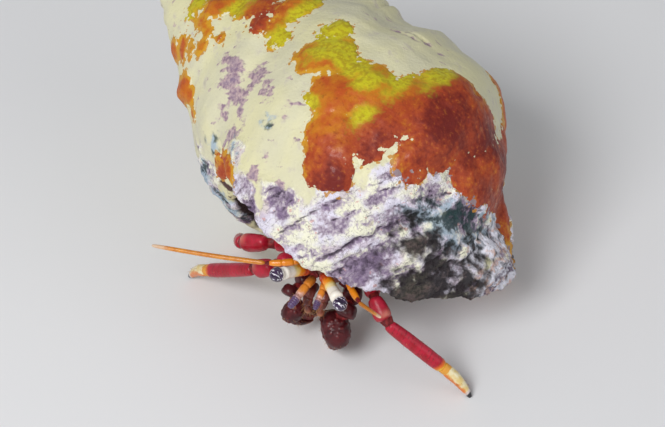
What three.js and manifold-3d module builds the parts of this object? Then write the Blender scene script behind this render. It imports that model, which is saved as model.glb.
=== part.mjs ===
// An orangeclaw hermit crab in an old, thick snail shell, set down in a natural stance.
// Millimetres, +Z up. The crab faces -Y, its left side is towards +X, and it carries the
// shell crosswise, with the opening facing down and the spire to its right and rear.

import * as THREE from 'three';
import { mergeVertices } from 'three/addons/utils/BufferGeometryUtils.js';
import Module from 'manifold-3d';

const wasm = await Module();
wasm.setup();

// ---- Driving dimensions of the shell ----

// The shell is a spiral about one straight axis, from the apex to the tip of the canal.
const shellLength = 43.6;         // along the axis, with the worn tip of the canal made good
const shellRadius = 15.75;        // axis to the widest point of the last turn
const turnGrowth = 1.483;         // size of each turn over the one before it
const turnCount = 8;
const apexPlace = [-22.1, 11.05, 17.3];   // low enough for the floor to wear a flat
const axisHeading = 163.4;        // degrees from +X round to the apex, seen from above
const axisRise = 16.0;            // degrees that the apex end is tipped up
const axisRoll = 14.7;            // degrees that the outer lip is turned above the level
const apexBluntness = 0.04;       // share of the length over which the apex is rounded
const columellaRadius = 2.7;      // the solid pillar, at the base of the last turn
const columellaMiddle = 0.73;     // share of the length where the pillar is thickest

// Stations of one turn's outline: [share of the length from the apex, share of the radius].
const turnOutline = [
  [0.33, 0.615], [0.37, 0.64], [0.43, 0.765], [0.50, 0.91], [0.58, 0.977], [0.66, 0.995],
  [0.75, 0.93], [0.84, 0.72], [0.91, 0.48], [0.94, 0.28], [0.957, 0.04],
];

// Broad swellings and hollows of the worn surface: degrees back from the lip, share of the
// length from the apex, share of the length over which it fades, and growth of the radius.
const swellings = [
  { turn: 119, along: 0.54, reach: 0.13, rise: -0.157 },
  { turn: 110, along: 0.86, reach: 0.13, rise: 0.07 },
  { turn: 73, along: 0.82, reach: 0.13, rise: 0.093 },
  { turn: 120, along: 0.88, reach: 0.045, rise: 0.5 },
  { turn: 100, along: 0.855, reach: 0.03, rise: 0.07 },
  { turn: 128, along: 0.475, reach: 0.035, rise: -0.075 },
  { turn: 125, along: 0.55, reach: 0.03, rise: 0.055 },
];
const swellingTurn = 55;          // degrees over which a swelling fades

// The worn canal ends in round bulges, off the axis. Their offsets and radii are shares of
// the shell's radius.
const bulges = [
  { turn: 4, along: 0.90, reach: 0.074, offset: 0.2, radius: 0.22 },
  { turn: 95, along: 0.84, reach: 0.03, offset: 0.09, radius: 0.13 },
];
const canalTip = 0.962;           // share of the length where the blunt canal ends

// Crusts of sponge that overgrow the shell in lobes, and hollows where its outer layers have
// flaked away: degrees back from the lip, share of the length from the apex, half of the
// width round the shell and half of the height along it.
const crusts = [
  { turn: 33, along: 0.63, width: 2.5, height: 2.7 },
  { turn: 40, along: 0.60, width: 2.5, height: 2.4 },
  { turn: 53, along: 0.565, width: 3.5, height: 2.8 },
  { turn: 59, along: 0.48, width: 2.5, height: 2.2 },
  { turn: 58, along: 0.645, width: 3.9, height: 2.2 },
  { turn: 71, along: 0.715, width: 4.9, height: 3.4 },
  { turn: 50, along: 0.735, width: 2.1, height: 1.5 },
  { turn: 80, along: 0.81, width: 4.6, height: 2.0 },
  { turn: 112, along: 0.88, width: 1.8, height: 1.9 },
  { turn: 125, along: 0.72, width: 1.8, height: 3.0 },
  { turn: 48, along: 0.175, width: 1.8, height: 1.6 },
  { turn: 66, along: 0.28, width: 2.3, height: 2.6 },
  { turn: 84, along: 0.315, width: 3.6, height: 2.0 },
  { turn: 90, along: 0.25, width: 3.2, height: 2.8 },
  { turn: 340, along: 0.24, width: 1.9, height: 1.8 },
  { turn: 155, along: 0.645, width: 3.7, height: 4.4 },
  { turn: 219, along: 0.44, width: 3.0, height: 2.6 },
];
const flakes = [
  { turn: 18, along: 0.80, width: 5.0, height: 2.4 },
  { turn: 46, along: 0.81, width: 3.0, height: 1.5 },
  { turn: 170, along: 0.82, width: 5.0, height: 2.8 },
];
const crustThickness = 0.4;
const flakeThickness = 0.3;
const crustEdge = 1.3;            // width of the slope at the edge of a crust or a flake

// Ledges left by the flaking, one below another, that run aslant round the lower part.
const flakedPart = [
  { turn: 12, along: 0.775, width: 8.5, height: 5.2 },
  { turn: 40, along: 0.835, width: 6.5, height: 3.2 },
];
const ledgeStart = 0.704;         // share of the length where one ledge meets the outer lip
const ledgeSlope = 0.15;          // share of the length that a ledge runs down in one radian
const ledgeSpacing = 4.1;
const ledgeRise = 0.28;           // above and below the even surface
const knobCount = 9;              // worn knobs round the shoulder of each turn
const knobRise = 0.018;

// The opening and the open space behind it.
const wallThickness = 1.25;
const callusThickness = 0.35;     // glaze over the turn before, inside the opening
const lipLead = 8;                // degrees that the cut runs on past the outer lip
const openingDepth = 215;         // degrees that the open space winds back into the shell
const openingStart = 0.455;       // its two ends, as shares of the length at the lip
const openingEnd = 0.93;

// ---- Driving dimensions of the crab ----

const jointGap = 0.26;            // clear space between two pieces that meet
const shieldFront = [2.85, -9.15, 10.25];
const shieldRear = [3.6, -3.5, 13.4];
const shieldWidth = 5.6;
const shieldArch = 1.5;
const shieldThickness = 0.62;
const thoraxWidth = 6.0;
const thoraxDepth = 3.9;
const thoraxDrop = 2.35;          // thorax centre line below the shield's
const breastPath = [[3.1, -8.1, 7.5], [3.4, -3.9, 8.9]];
const breastWidth = 4.5;
const breastDepth = 2.6;
const abdomenWidth = 4.6;
const abdomenDepth = 4.2;

const eyePlaces = {
  left: { base: [3.5, -9.6, 9.75], tip: [6.25, -12.65, 10.5] },
  right: { base: [2.15, -9.7, 9.95], tip: [1.0, -13.1, 12.0] },
};
const stalkWidth = 1.05;
const eyeWidth = 1.18;
const eyeLength = 1.0;

const feelers = {
  antennule_left: { path: [[3.55, -9.5, 8.75], [3.75, -10.6, 8.7], [3.8, -12.1, 8.15]], width: 0.62 },
  antennule_right: { path: [[2.5, -9.5, 8.75], [2.45, -10.5, 9.0], [1.9, -12.9, 8.35]], width: 0.8 },
  antenna_left: { path: [[7.35, -11.15, 9.5], [9.0, -12.85, 11.0], [10.6, -14.5, 12.5]], width: 0.34 },
  antenna_right: { path: [[-1.6, -10.0, 9.3], [-6.4, -10.8, 8.95], [-11.4, -11.4, 8.6]], width: 0.44 },
};
const feelerBases = {
  antenna_base_left: [[4.9, -8.4, 9.35], [6.0, -9.9, 9.5], [7.15, -10.95, 9.45]],
  antenna_base_right: [[1.2, -8.35, 9.3], [0.3, -9.3, 9.5], [-1.35, -9.95, 9.35]],
};
const feelerBaseWidth = 0.6;
const maxillipeds = {
  maxilliped_left: [[3.6, -8.4, 6.7], [3.65, -9.6, 7.2], [3.5, -10.3, 6.5], [3.4, -10.1, 5.4]],
  maxilliped_right: [[2.3, -8.4, 6.7], [2.2, -9.6, 7.2], [2.25, -10.3, 6.4], [2.35, -10.1, 5.3]],
};
const maxillipedWidth = 0.95;

// Each walking leg's joints from the hip to the tip of its claw, which stands on the floor.
const legJoints = {
  leg2_left: [[6.2, -5.9, 7.5], [7.5, -8.9, 8.4], [9.3, -10.1, 6.9], [14.1, -9, 2.45], [16.6, -9, -0.1]],
  leg2_right: [[0.4, -6.1, 7.8], [-1.3, -8.8, 7.9], [-3.35, -8.5, 6.35], [-8.6, -7, 2.6], [-10.9, -6, -0.1]],
  leg3_left: [[6.1, -4, 7.5], [9, -3.3, 6.1], [10.9, -1.4, 4.3], [13.1, 2.8, 2], [14, 5.2, -0.1]],
  leg3_right: [[0.4, -4, 7.2], [-3.3, -5.7, 6.9], [-6.2, -5.2, 5.35], [-7.7, -2.3, 2.3], [-8.5, -0.6, -0.1]],
};
// Segments of a walking leg; trim is kept clear at both ends, where the limb bends.
const legSegments = [
  { part: 'merus', width: 1.5, height: 1.8, trim: 0.46 },
  { part: 'carpus', width: 1.5, height: 1.7, trim: 0.27 },
  { part: 'propodus', width: 1.16, height: 1.26, trim: 0.15 },
  { part: 'dactyl', width: 1.02, height: 1.1, trim: 0.12, bow: 0.4 },
];

// The claws: the left one is much the larger.
const claws = {
  claw_left: {
    joints: [[4.85, -6.6, 6.1], [5.6, -8.9, 6.7], [5.5, -10.2, 5.8]],
    wrist: [5.25, -10.55, 4.95],
    knuckle: [4.4, -9.6, 3.5],
    size: 1,
  },
  claw_right: {
    joints: [[1.5, -6.8, 6.1], [0.3, -8.6, 6.3], [0.2, -9.7, 5.6]],
    wrist: [0.3, -10.05, 4.7],
    knuckle: [0.9, -9.2, 3.7],
    size: 0.68,
  },
};
const palmWidth = 2.5;
const palmHeight = 3.5;
const fingerLength = 3.3;
const fingerWidth = 1.35;
const fingerApart = 0.85;         // a finger's root, off the middle of the palm's end

// The last two pairs of legs are short and folded away beside the trunk.
const smallLegs = {
  leg4_left: {
    path: [[6.6, -3.5, 9.7], [7.6, -3.1, 9.3], [8.6, -4.2, 9.7], [8.9, -5.4, 10.3]],
    width: 0.95,
  },
  leg4_right: {
    path: [[0.3, -3.3, 10.2], [-0.6, -4.2, 10.2], [-0.9, -5.6, 11.0], [-0.6, -6.6, 11.4]],
    width: 0.95,
  },
  leg5_left: { path: [[6.6, -3.2, 12.3], [7.4, -3.0, 12.9], [7.5, -4.4, 14.0]], width: 0.75 },
  leg5_right: { path: [[0.8, -3.3, 12.6], [0.15, -4.0, 13.5], [0.9, -5.4, 14.8]], width: 0.75 },
};

// Sections along a body or a limb: [share of its length, share of its full girth].
const sections = {
  trunk: [[0.02, 0.42], [0.12, 0.66], [0.35, 0.92], [0.65, 1], [0.88, 0.86], [0.98, 0.55]],
  abdomen: [[0.02, 0.6], [0.1, 0.86], [0.25, 1], [0.45, 0.92], [0.65, 0.76], [0.82, 0.56], [0.99, 0.3]],
  shield: [[0, 0.5], [0.08, 0.72], [0.3, 0.9], [0.6, 1], [0.85, 0.94], [1, 0.7]],
  plain: [[0.03, 0.62], [0.12, 0.88], [0.35, 1], [0.7, 0.96], [0.9, 0.84], [0.98, 0.56]],
  merus: [[0.02, 0.62], [0.09, 0.84], [0.35, 0.95], [0.7, 1], [0.92, 0.95], [0.985, 0.74]],
  carpus: [[0.03, 0.62], [0.13, 0.84], [0.5, 0.98], [0.82, 1], [0.97, 0.78]],
  propodus: [[0.015, 0.68], [0.05, 0.84], [0.2, 0.95], [0.55, 1], [0.9, 1], [0.985, 0.86]],
  dactyl: [[0.02, 0.86], [0.1, 1], [0.35, 0.9], [0.65, 0.68], [0.88, 0.44], [0.99, 0.28]],
  palm: [[0.06, 0.5], [0.2, 0.82], [0.4, 0.98], [0.6, 0.98], [0.8, 0.8], [0.94, 0.5]],
  stalk: [[0.02, 0.8], [0.1, 1.1], [0.25, 1], [0.6, 0.9], [0.88, 1], [0.99, 0.9]],
  eye: [[0.04, 0.86], [0.3, 1], [0.62, 0.86], [0.88, 0.5]],
  whip: [[0.01, 0.7], [0.05, 1], [0.3, 0.92], [0.6, 0.86], [0.9, 0.82], [0.99, 0.6]],
};

// ---- Materials ----

const finish = (color, roughness) => new THREE.MeshStandardMaterial({ color, roughness, metalness: 0 });
const shellFinish = finish(0xd8cfc0, 0.75);
const shieldFinish = finish(0x7c2a26, 0.5);
const softFinish = finish(0xb98a7c, 0.6);
const legFinish = finish(0xa01f2c, 0.4);
const legTipFinish = finish(0xf0d060, 0.4);
const clawFinish = finish(0x6a1c1c, 0.45);
const feelerFinish = finish(0xe8851c, 0.4);
const stalkFinish = finish(0xf4ede0, 0.35);
const eyeFinish = finish(0x22182a, 0.12);

// ---- Making closed solids ----

const { degToRad } = THREE.MathUtils;
const fullTurn = 2 * Math.PI;
const up = new THREE.Vector3(0, 0, 1);
const vector = (point) => (point.isVector3 ? point.clone() : new THREE.Vector3(...point));
const centreOf = (points) => points
  .reduce((sum, point) => sum.add(point), new THREE.Vector3())
  .divideScalar(points.length);

// A closed skin over a stack of rings, each with the same number of points, that runs from
// one end point to the other. Each ring goes round clockwise seen from the far end. Where
// two rows of points run together, the faces between them have no area and are left out.
function skinRings(startPoint, rings, endPoint) {
  const sides = rings[0].length;
  const points = [startPoint, ...rings.flat(), endPoint];
  const at = (row, column) => 1 + row * sides + (column % sides);
  const lastRow = rings.length - 1;
  const faces = [];
  for (let column = 0; column < sides; column += 1) {
    faces.push([0, at(0, column + 1), at(0, column)]);
    for (let row = 0; row < lastRow; row += 1) {
      faces.push([at(row, column), at(row, column + 1), at(row + 1, column + 1)]);
      faces.push([at(row, column), at(row + 1, column + 1), at(row + 1, column)]);
    }
    faces.push([points.length - 1, at(lastRow, column), at(lastRow, column + 1)]);
  }
  const positions = points.flatMap((point) => point.toArray());
  const loose = new THREE.BufferGeometry();
  loose.setAttribute('position', new THREE.Float32BufferAttribute(positions, 3));
  loose.setIndex(faces.flat());
  const geometry = mergeVertices(loose, 1e-4);
  const kept = [];
  for (let i = 0; i < geometry.index.count; i += 3) {
    const [a, b, c] = geometry.index.array.slice(i, i + 3);
    if (a !== b && b !== c && c !== a) kept.push(a, b, c);
  }
  geometry.setIndex(kept);
  return geometry;
}

// A rounded body or limb along a smooth path: `form` lists its sections, and the height is
// measured upwards, square to the path.
function limb(path, form, width, height = width, { sides = 9, trim = 0 } = {}) {
  const curve = new THREE.CatmullRomCurve3(path.map(vector));
  const margin = trim / curve.getLength();
  const place = (share) => margin + share * (1 - 2 * margin);
  const rings = form.map(([share, girth]) => {
    const centre = curve.getPointAt(place(share));
    const along = curve.getTangentAt(place(share));
    const side = new THREE.Vector3().crossVectors(along, up).normalize();
    const top = new THREE.Vector3().crossVectors(side, along);
    return Array.from({ length: sides }, (_, i) => {
      const angle = (i / sides) * fullTurn;
      return centre.clone()
        .addScaledVector(side, 0.5 * width * girth * Math.cos(angle))
        .addScaledVector(top, -0.5 * height * girth * Math.sin(angle));
    });
  });
  return skinRings(curve.getPointAt(place(0)), rings, curve.getPointAt(place(1)));
}

function toSolid(geometry) {
  const bare = new THREE.BufferGeometry();
  bare.setAttribute('position', geometry.attributes.position);
  bare.setIndex(geometry.index);
  const merged = mergeVertices(bare, 1e-4);
  return new wasm.Manifold(new wasm.Mesh({
    numProp: 3,
    vertProperties: new Float32Array(merged.attributes.position.array),
    triVerts: new Uint32Array(merged.index.array),
  }));
}

function fromSolid(solid) {
  const mesh = solid.getMesh();
  const geometry = new THREE.BufferGeometry();
  geometry.setAttribute('position', new THREE.BufferAttribute(mesh.vertProperties, 3));
  geometry.setIndex(new THREE.BufferAttribute(mesh.triVerts, 1));
  return geometry;
}

const join = (one, other) => fromSolid(toSolid(one).add(toSolid(other)));
const cut = (geometry, ...tools) => fromSolid(
  tools.reduce((solid, tool) => solid.subtract(toSolid(tool)), toSolid(geometry)),
);

// Everything below the floor, which cuts a small flat where a piece stands on it.
const underFloor = new THREE.BoxGeometry(120, 120, 10).translate(0, 0, -5);

const crab = new THREE.Group();

function addPiece(name, geometry, material) {
  const mesh = new THREE.Mesh(geometry, material);
  mesh.name = name;
  crab.add(mesh);
}

// ---- The shell ----

// The shell's own directions: along its axis, out to the outer lip, and square to both.
const apex = vector(apexPlace);
const towardsApex = new THREE.Vector3(1, 0, 0)
  .applyAxisAngle(new THREE.Vector3(0, -1, 0), degToRad(axisRise))
  .applyAxisAngle(up, degToRad(axisHeading));
const towardsLip = new THREE.Vector3().crossVectors(up, towardsApex)
  .normalize()
  .applyAxisAngle(towardsApex, degToRad(axisRoll));
const acrossLip = new THREE.Vector3().crossVectors(towardsApex, towardsLip);

const shrinkRate = Math.log(turnGrowth) / fullTurn;
const sizeAt = (turn) => Math.exp(-shrinkRate * turn);
const outlineStart = turnOutline[0][0];
const canalEnd = turnOutline.at(-1)[0];
const outlineCurve = new THREE.CubicInterpolant(
  turnOutline.map(([along]) => along),
  turnOutline.map(([, radius]) => radius),
  1,
);
const outlineRadius = (station) => outlineCurve.evaluate(station)[0];

// All radii below are shares of the shell's radius, and `along` is a share of its length.
function turnRadius(size, along) {
  const station = along / size;
  return station < outlineStart || station > canalEnd ? 0 : size * outlineRadius(station);
}

// The pillar narrows to a point at the tip of the canal.
function columella(along) {
  const share = (along - columellaMiddle) / (canalEnd + 0.005 - columellaMiddle);
  return (columellaRadius / shellRadius) * Math.sqrt(Math.max(0, 1 - share ** 2));
}

// Radius of a bulge, which lies in the half turn behind the outer lip.
function bulgeRadius({ turn: centre, along: middle, reach, offset, radius }, turn, along) {
  if (turn > Math.PI) return 0;
  const size = Math.sqrt(Math.max(0, 1 - ((along - middle) / reach) ** 2));
  const away = turn - degToRad(centre);
  return size * (offset * Math.cos(away) + Math.sqrt(radius ** 2 - (offset * Math.sin(away)) ** 2));
}

// How far `turn` is past a place given in degrees, the shorter way round.
const turnPast = (turn, degrees) => (
  ((turn - degToRad(degrees) + 1.5 * fullTurn) % fullTurn) - Math.PI
);

function wornSurface(turn, along) {
  let factor = 1;
  for (const { turn: centre, along: middle, reach, rise } of swellings) {
    const away = turnPast(turn, centre) / degToRad(swellingTurn);
    factor *= 1 + rise * Math.exp(-(away ** 2) - ((along - middle) / reach) ** 2);
  }
  return factor;
}

// How fully a set of crusts or flakes takes up a place: 0 outside them, 1 well inside one.
function cover(patches, turn, along, radius) {
  const depths = patches.map(({ turn: centre, along: middle, width, height }) => {
    const aside = turnPast(turn, centre) * radius * shellRadius;
    const apart = (along - middle) * shellLength;
    return (1 - Math.hypot(aside / width, apart / height)) * Math.min(width, height);
  });
  return THREE.MathUtils.smoothstep(Math.max(...depths), 0, crustEdge);
}

// Radius of the surface that shows, `turn` radians back from the outer lip.
function surfaceRadius(turn, along) {
  let radius = columella(along);
  for (let whorl = 0; whorl < turnCount; whorl += 1) {
    radius = Math.max(radius, turnRadius(sizeAt(turn + whorl * fullTurn), along));
  }
  for (const bulge of bulges) radius = Math.max(radius, bulgeRadius(bulge, turn, along));
  if (along < 0.1) radius = Math.max(radius, 0.1 * Math.sqrt(Math.min(1, along / apexBluntness)));
  const shoulder = Math.exp(-(((along / sizeAt(turn) - 0.5) / 0.09) ** 2));
  const knobs = 1 + knobRise * shoulder * Math.cos(knobCount * turn);
  const below = (along - ledgeStart - ledgeSlope * turnPast(turn, 0)) * shellLength;
  const ledges = ledgeRise * cover(flakedPart, turn, along, radius)
    * -Math.sin((fullTurn * below) / ledgeSpacing);
  const flaking = ledges - flakeThickness * cover(flakes, turn, along, radius);
  const offPillar = THREE.MathUtils.smoothstep(radius, 0.3, 0.5);
  const layers = crustThickness * cover(crusts, turn, along, radius) + flaking * offPillar;
  return radius * wornSurface(turn, along) * knobs + layers / shellRadius;
}

function shellPoint(turn, along, radius) {
  return apex.clone()
    .addScaledVector(towardsApex, -along * shellLength)
    .addScaledVector(towardsLip, radius * shellRadius * Math.cos(turn))
    .addScaledVector(acrossLip, radius * shellRadius * Math.sin(turn));
}

// The outside, closed by a flat face in the plane of the opening.
function shellOutside() {
  const steps = 48;
  const rows = 37;
  const rings = Array.from({ length: rows + 1 }, (_, row) => {
    const along = row === 0 ? 0.006 : (row / rows) * canalTip;
    const ring = Array.from({ length: steps + 1 }, (__, i) => {
      const turn = (i / steps) * fullTurn;
      return shellPoint(turn, along, surfaceRadius(turn, along));
    });
    return ring.reverse();
  });
  return skinRings(shellPoint(0, 0, 0), rings, shellPoint(0, canalTip + 0.002, 0));
}

// The outline of the open space at one turn: out along the wall, and back along the pillar.
function openingSection(turn) {
  const back = Math.max(0, turn);
  const size = sizeAt(back);
  const steps = 11;
  const far = [];
  const near = [];
  for (let i = 0; i < steps; i += 1) {
    const share = 0.5 - 0.5 * Math.cos((Math.PI * (i + 0.5)) / steps);
    const station = openingStart + (openingEnd - openingStart) * share;
    const along = station * size;
    const outer = size * outlineRadius(station) * wornSurface(back, along) - wallThickness / shellRadius;
    const inner = Math.max(turnRadius(size / turnGrowth, along), columella(along))
      + callusThickness / shellRadius;
    far.push(shellPoint(turn, along, outer));
    near.push(shellPoint(turn, along, Math.min(inner, outer - 0.02)));
  }
  return [...far, ...near.reverse()];
}

// The open space, from just outside the lip to its rounded end deep in the shell.
function shellOpening() {
  const steps = 15;
  const roundedFrom = 0.7;
  const rings = Array.from({ length: steps + 1 }, (_, step) => {
    const share = step / steps;
    const section = openingSection(degToRad(-lipLead + share * (lipLead + openingDepth)));
    const centre = centreOf(section);
    const rounding = Math.max(0, share - roundedFrom) / (1 - roundedFrom);
    const keep = Math.sqrt(Math.max(0.02, 1 - rounding ** 2));
    return section.map((point) => point.lerp(centre, 1 - keep));
  });
  return skinRings(centreOf(rings[0]), rings, centreOf(rings.at(-1)));
}

addPiece('shell', cut(shellOutside(), shellOpening(), underFloor), shellFinish);

// ---- Trunk ----

const bodyAxis = vector(shieldRear).sub(vector(shieldFront)).normalize();
const bodyUp = up.clone().addScaledVector(bodyAxis, -bodyAxis.z).normalize();
const bodySide = new THREE.Vector3().crossVectors(bodyAxis, bodyUp);

// The shield is an arched plate over the front of the trunk, open underneath.
function shieldPlate() {
  const steps = 8;
  const arch = (centre, halfWidth, height) => Array.from({ length: steps + 1 }, (_, i) => {
    const angle = (i / steps) * Math.PI;
    return centre.clone()
      .addScaledVector(bodySide, halfWidth * Math.cos(angle))
      .addScaledVector(bodyUp, height * Math.sin(angle) - 0.5);
  });
  const rings = sections.shield.map(([share, girth]) => {
    const centre = vector(shieldFront).lerp(vector(shieldRear), share);
    const halfWidth = 0.5 * shieldWidth * girth;
    const top = arch(centre, halfWidth, shieldArch * girth);
    const underside = arch(centre, 0.97 * halfWidth, shieldArch * girth - shieldThickness);
    return [...underside, ...top.reverse()];
  });
  return skinRings(centreOf(rings[0]), rings, centreOf(rings.at(-1)));
}

addPiece('shield', shieldPlate(), shieldFinish);

// The trunk under the shield, with the breast that the legs stand out from.
const thoraxPath = [
  vector(shieldFront).addScaledVector(bodyUp, 0.1 - thoraxDrop).addScaledVector(bodyAxis, 0.2),
  vector(shieldRear).addScaledVector(bodyUp, -thoraxDrop).addScaledVector(bodyAxis, 0.3),
];
const thorax = join(
  limb(thoraxPath, sections.trunk, thoraxWidth, thoraxDepth, { sides: 14 }),
  limb(breastPath, sections.trunk, breastWidth, breastDepth, { sides: 12 }),
);
addPiece('thorax', thorax, softFinish);

// The soft abdomen winds back into the shell, down the middle of the open space.
const abdomenPath = [
  thoraxPath[1].clone().addScaledVector(bodyAxis, 4 * jointGap),
  ...[50, 75, 100, 125, 148].map((turn) => centreOf(openingSection(degToRad(turn)))),
];
const abdomen = limb(abdomenPath, sections.abdomen, abdomenWidth, abdomenDepth, { sides: 12 });
addPiece('abdomen', abdomen, softFinish);

// ---- Eyes, feelers and mouthparts ----

// Each eyestalk stands just under the front of the shield and carries its eye as a cap.
for (const [side, { base, tip }] of Object.entries(eyePlaces)) {
  const outward = vector(tip).sub(vector(base)).normalize();
  const stalkEnd = vector(tip).addScaledVector(outward, -0.5 * eyeLength);
  const eyeStart = stalkEnd.clone().addScaledVector(outward, jointGap);
  const eyeEnd = eyeStart.clone().addScaledVector(outward, eyeLength);
  addPiece(`eyestalk_${side}`, limb([base, stalkEnd], sections.stalk, stalkWidth), stalkFinish);
  addPiece(`eye_${side}`, limb([eyeStart, eyeEnd], sections.eye, eyeWidth), eyeFinish);
}

// Antennules hang between the eyes, and the antennae start outside them, each on a jointed
// base that carries the long whip.
for (const [name, path] of Object.entries(feelerBases)) {
  addPiece(name, limb(path, sections.plain, feelerBaseWidth), feelerFinish);
}
for (const [name, { path, width }] of Object.entries(feelers)) {
  addPiece(name, limb(path, sections.whip, width, width, { sides: 8 }), feelerFinish);
}

// The outer mouthparts fold down in front of the mouth.
for (const [name, path] of Object.entries(maxillipeds)) {
  addPiece(name, limb(path, sections.plain, maxillipedWidth), shieldFinish);
}

// ---- Claws and legs ----

// One jointed limb: a row of segments between its joints, each stopping short of the next.
function addLimb(name, joints, segments, material) {
  segments.forEach(({ part, width, height = width, trim, bow = 0 }, i) => {
    const from = vector(joints[i]);
    const to = vector(joints[i + 1]);
    const middle = from.clone().lerp(to, 0.5).addScaledVector(up, bow);
    const solid = limb([from, middle, to], sections[part], width, height, { trim });
    if (part === 'dactyl') {
      addPiece(`${name}_${part}`, cut(solid, underFloor), legTipFinish);
    } else {
      addPiece(`${name}_${part}`, solid, material);
    }
  });
}

for (const [name, joints] of Object.entries(legJoints)) {
  addLimb(name, joints, legSegments, legFinish);
}

// A hand is a palm with one fixed finger, and the movable finger stands beside that.
for (const [name, { joints, wrist, knuckle, size }] of Object.entries(claws)) {
  const armWidth = 0.9 + 0.85 * size;
  const armSegments = [
    { part: 'merus', width: armWidth, trim: 0.42 },
    { part: 'carpus', width: armWidth, trim: 0.2 },
  ];
  addLimb(name, joints, armSegments, clawFinish);

  const along = vector(knuckle).sub(vector(wrist)).normalize();
  const across = new THREE.Vector3().crossVectors(along, up).normalize();
  const inward = new THREE.Vector3().crossVectors(across, along);
  const finger = (apart, start) => {
    const at = (share, off) => vector(knuckle)
      .addScaledVector(along, share * fingerLength * size)
      .addScaledVector(inward, off * apart * size);
    const path = [at(start, 1.05), at(0.55, 1.15), at(1, 0.4)];
    return limb(path, sections.dactyl, fingerWidth * size, 1.15 * fingerWidth * size);
  };
  const palmEnd = vector(knuckle).addScaledVector(along, 0.5 * size);
  const palmPath = [wrist, knuckle, palmEnd];
  const palm = limb(palmPath, sections.palm, palmWidth * size, palmHeight * size, { sides: 12 });
  addPiece(`${name}_hand`, join(palm, finger(-fingerApart, 0)), clawFinish);
  addPiece(`${name}_finger`, finger(fingerApart, 0.2), clawFinish);
}

for (const [name, { path, width }] of Object.entries(smallLegs)) {
  addPiece(name, limb(path, sections.plain, width, width, { sides: 8 }), legFinish);
}

// ---- The middle of the box's underside goes to the origin ----

const box = new THREE.Box3().setFromObject(crab);
const middle = box.getCenter(new THREE.Vector3());
crab.position.set(-middle.x, -middle.y, -box.min.z);

export default crab;
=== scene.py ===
import math

import bpy
import numpy as np
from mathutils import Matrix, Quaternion, Vector, noise
from mathutils.bvhtree import BVHTree


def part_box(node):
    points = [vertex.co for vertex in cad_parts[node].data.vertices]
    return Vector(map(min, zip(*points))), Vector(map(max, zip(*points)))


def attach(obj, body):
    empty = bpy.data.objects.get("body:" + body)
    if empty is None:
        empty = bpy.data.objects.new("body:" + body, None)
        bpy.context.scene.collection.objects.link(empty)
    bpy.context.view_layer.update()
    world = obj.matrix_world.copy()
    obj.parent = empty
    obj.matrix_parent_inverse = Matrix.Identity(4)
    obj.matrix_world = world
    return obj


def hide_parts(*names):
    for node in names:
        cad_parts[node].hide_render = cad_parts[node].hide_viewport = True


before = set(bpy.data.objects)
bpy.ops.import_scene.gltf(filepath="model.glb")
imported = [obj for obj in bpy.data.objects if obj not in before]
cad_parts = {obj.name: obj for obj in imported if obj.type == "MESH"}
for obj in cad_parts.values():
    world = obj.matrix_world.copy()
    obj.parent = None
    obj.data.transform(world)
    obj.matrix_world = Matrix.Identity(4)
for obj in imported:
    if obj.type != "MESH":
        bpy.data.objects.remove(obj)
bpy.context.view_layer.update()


# ---- The shell ----
# The heavy, limy shell of a sea snail, old and dull, that the crab carries. It was coiled
# round one axis by the snail, and has since been pitted, flaked and overgrown in the surf.
# It is made from a copy of the solid, rebuilt in small even faces and then worn.

MM = 0.001
shell_low, shell_high = (Vector(corner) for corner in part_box("shell"))

# The shell is coiled round an axis that ends at its apex. Heading and rise say which way that
# is, in degrees round and up, and roll turns the outer lip round the axis.
SHELL_LENGTH = 43.6 * MM
apex = Vector((shell_low.x, shell_high.y - 6.22 * MM, shell_low.z + 17.3 * MM))
heading, rise, roll = (math.radians(angle) for angle in (163.4, 16.0, 14.7))
towards_apex = Vector((
    math.cos(heading) * math.cos(rise),
    math.sin(heading) * math.cos(rise),
    math.sin(rise),
))
towards_lip = Quaternion(towards_apex, roll) @ Vector((0, 0, 1)).cross(towards_apex).normalized()
across_lip = towards_apex.cross(towards_lip)


def pick(piece):
    """Makes this piece the only one that is selected."""
    bpy.ops.object.select_all(action="DESELECT")
    piece.select_set(True)
    bpy.context.view_layer.objects.active = piece


def copy_solids(name, *nodes):
    """A merged copy of some of the model's solids, as one new piece."""
    bpy.ops.object.select_all(action="DESELECT")
    for node in nodes:
        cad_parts[node].select_set(True)
    bpy.context.view_layer.objects.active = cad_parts[nodes[0]]
    bpy.ops.object.duplicate()
    piece = bpy.context.active_object
    if len(nodes) > 1:
        bpy.ops.object.join()
    piece.name = name
    piece.data.materials.clear()
    bpy.ops.object.mode_set(mode="EDIT")
    bpy.ops.mesh.select_all(action="SELECT")
    bpy.ops.mesh.remove_doubles(threshold=0.001 * MM)
    bpy.ops.object.mode_set(mode="OBJECT")
    return piece


def work(piece, kind, **settings):
    """Adds one modifier to the piece, sets it and applies it."""
    pick(piece)
    bpy.ops.object.modifier_add(type=kind)
    modifier = piece.modifiers[-1]
    for setting, value in settings.items():
        setattr(modifier, setting, value)
    bpy.ops.object.modifier_apply(modifier=modifier.name)


def rebuild(piece, grain, smoothing):
    """Small even faces, of this grain in millimetres, over the whole piece, then smoothed."""
    work(piece, "REMESH", mode="VOXEL", voxel_size=grain * MM)
    work(piece, "SMOOTH", factor=0.5, iterations=smoothing)


def points_of(piece, what="co"):
    """Each point's place, or the way it faces, as one row of an array."""
    flat = np.empty(3 * len(piece.data.vertices))
    piece.data.vertices.foreach_get(what, flat)
    return flat.reshape(-1, 3)


def place_points(piece, points):
    """Puts each point of the piece at its row of the array."""
    piece.data.vertices.foreach_set("co", points.ravel())
    piece.data.update()


def move_points(piece, away):
    """Moves each point of the piece out along its normal, by its own distance."""
    place_points(piece, points_of(piece) + points_of(piece, "normal") * np.reshape(away, (-1, 1)))


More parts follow.
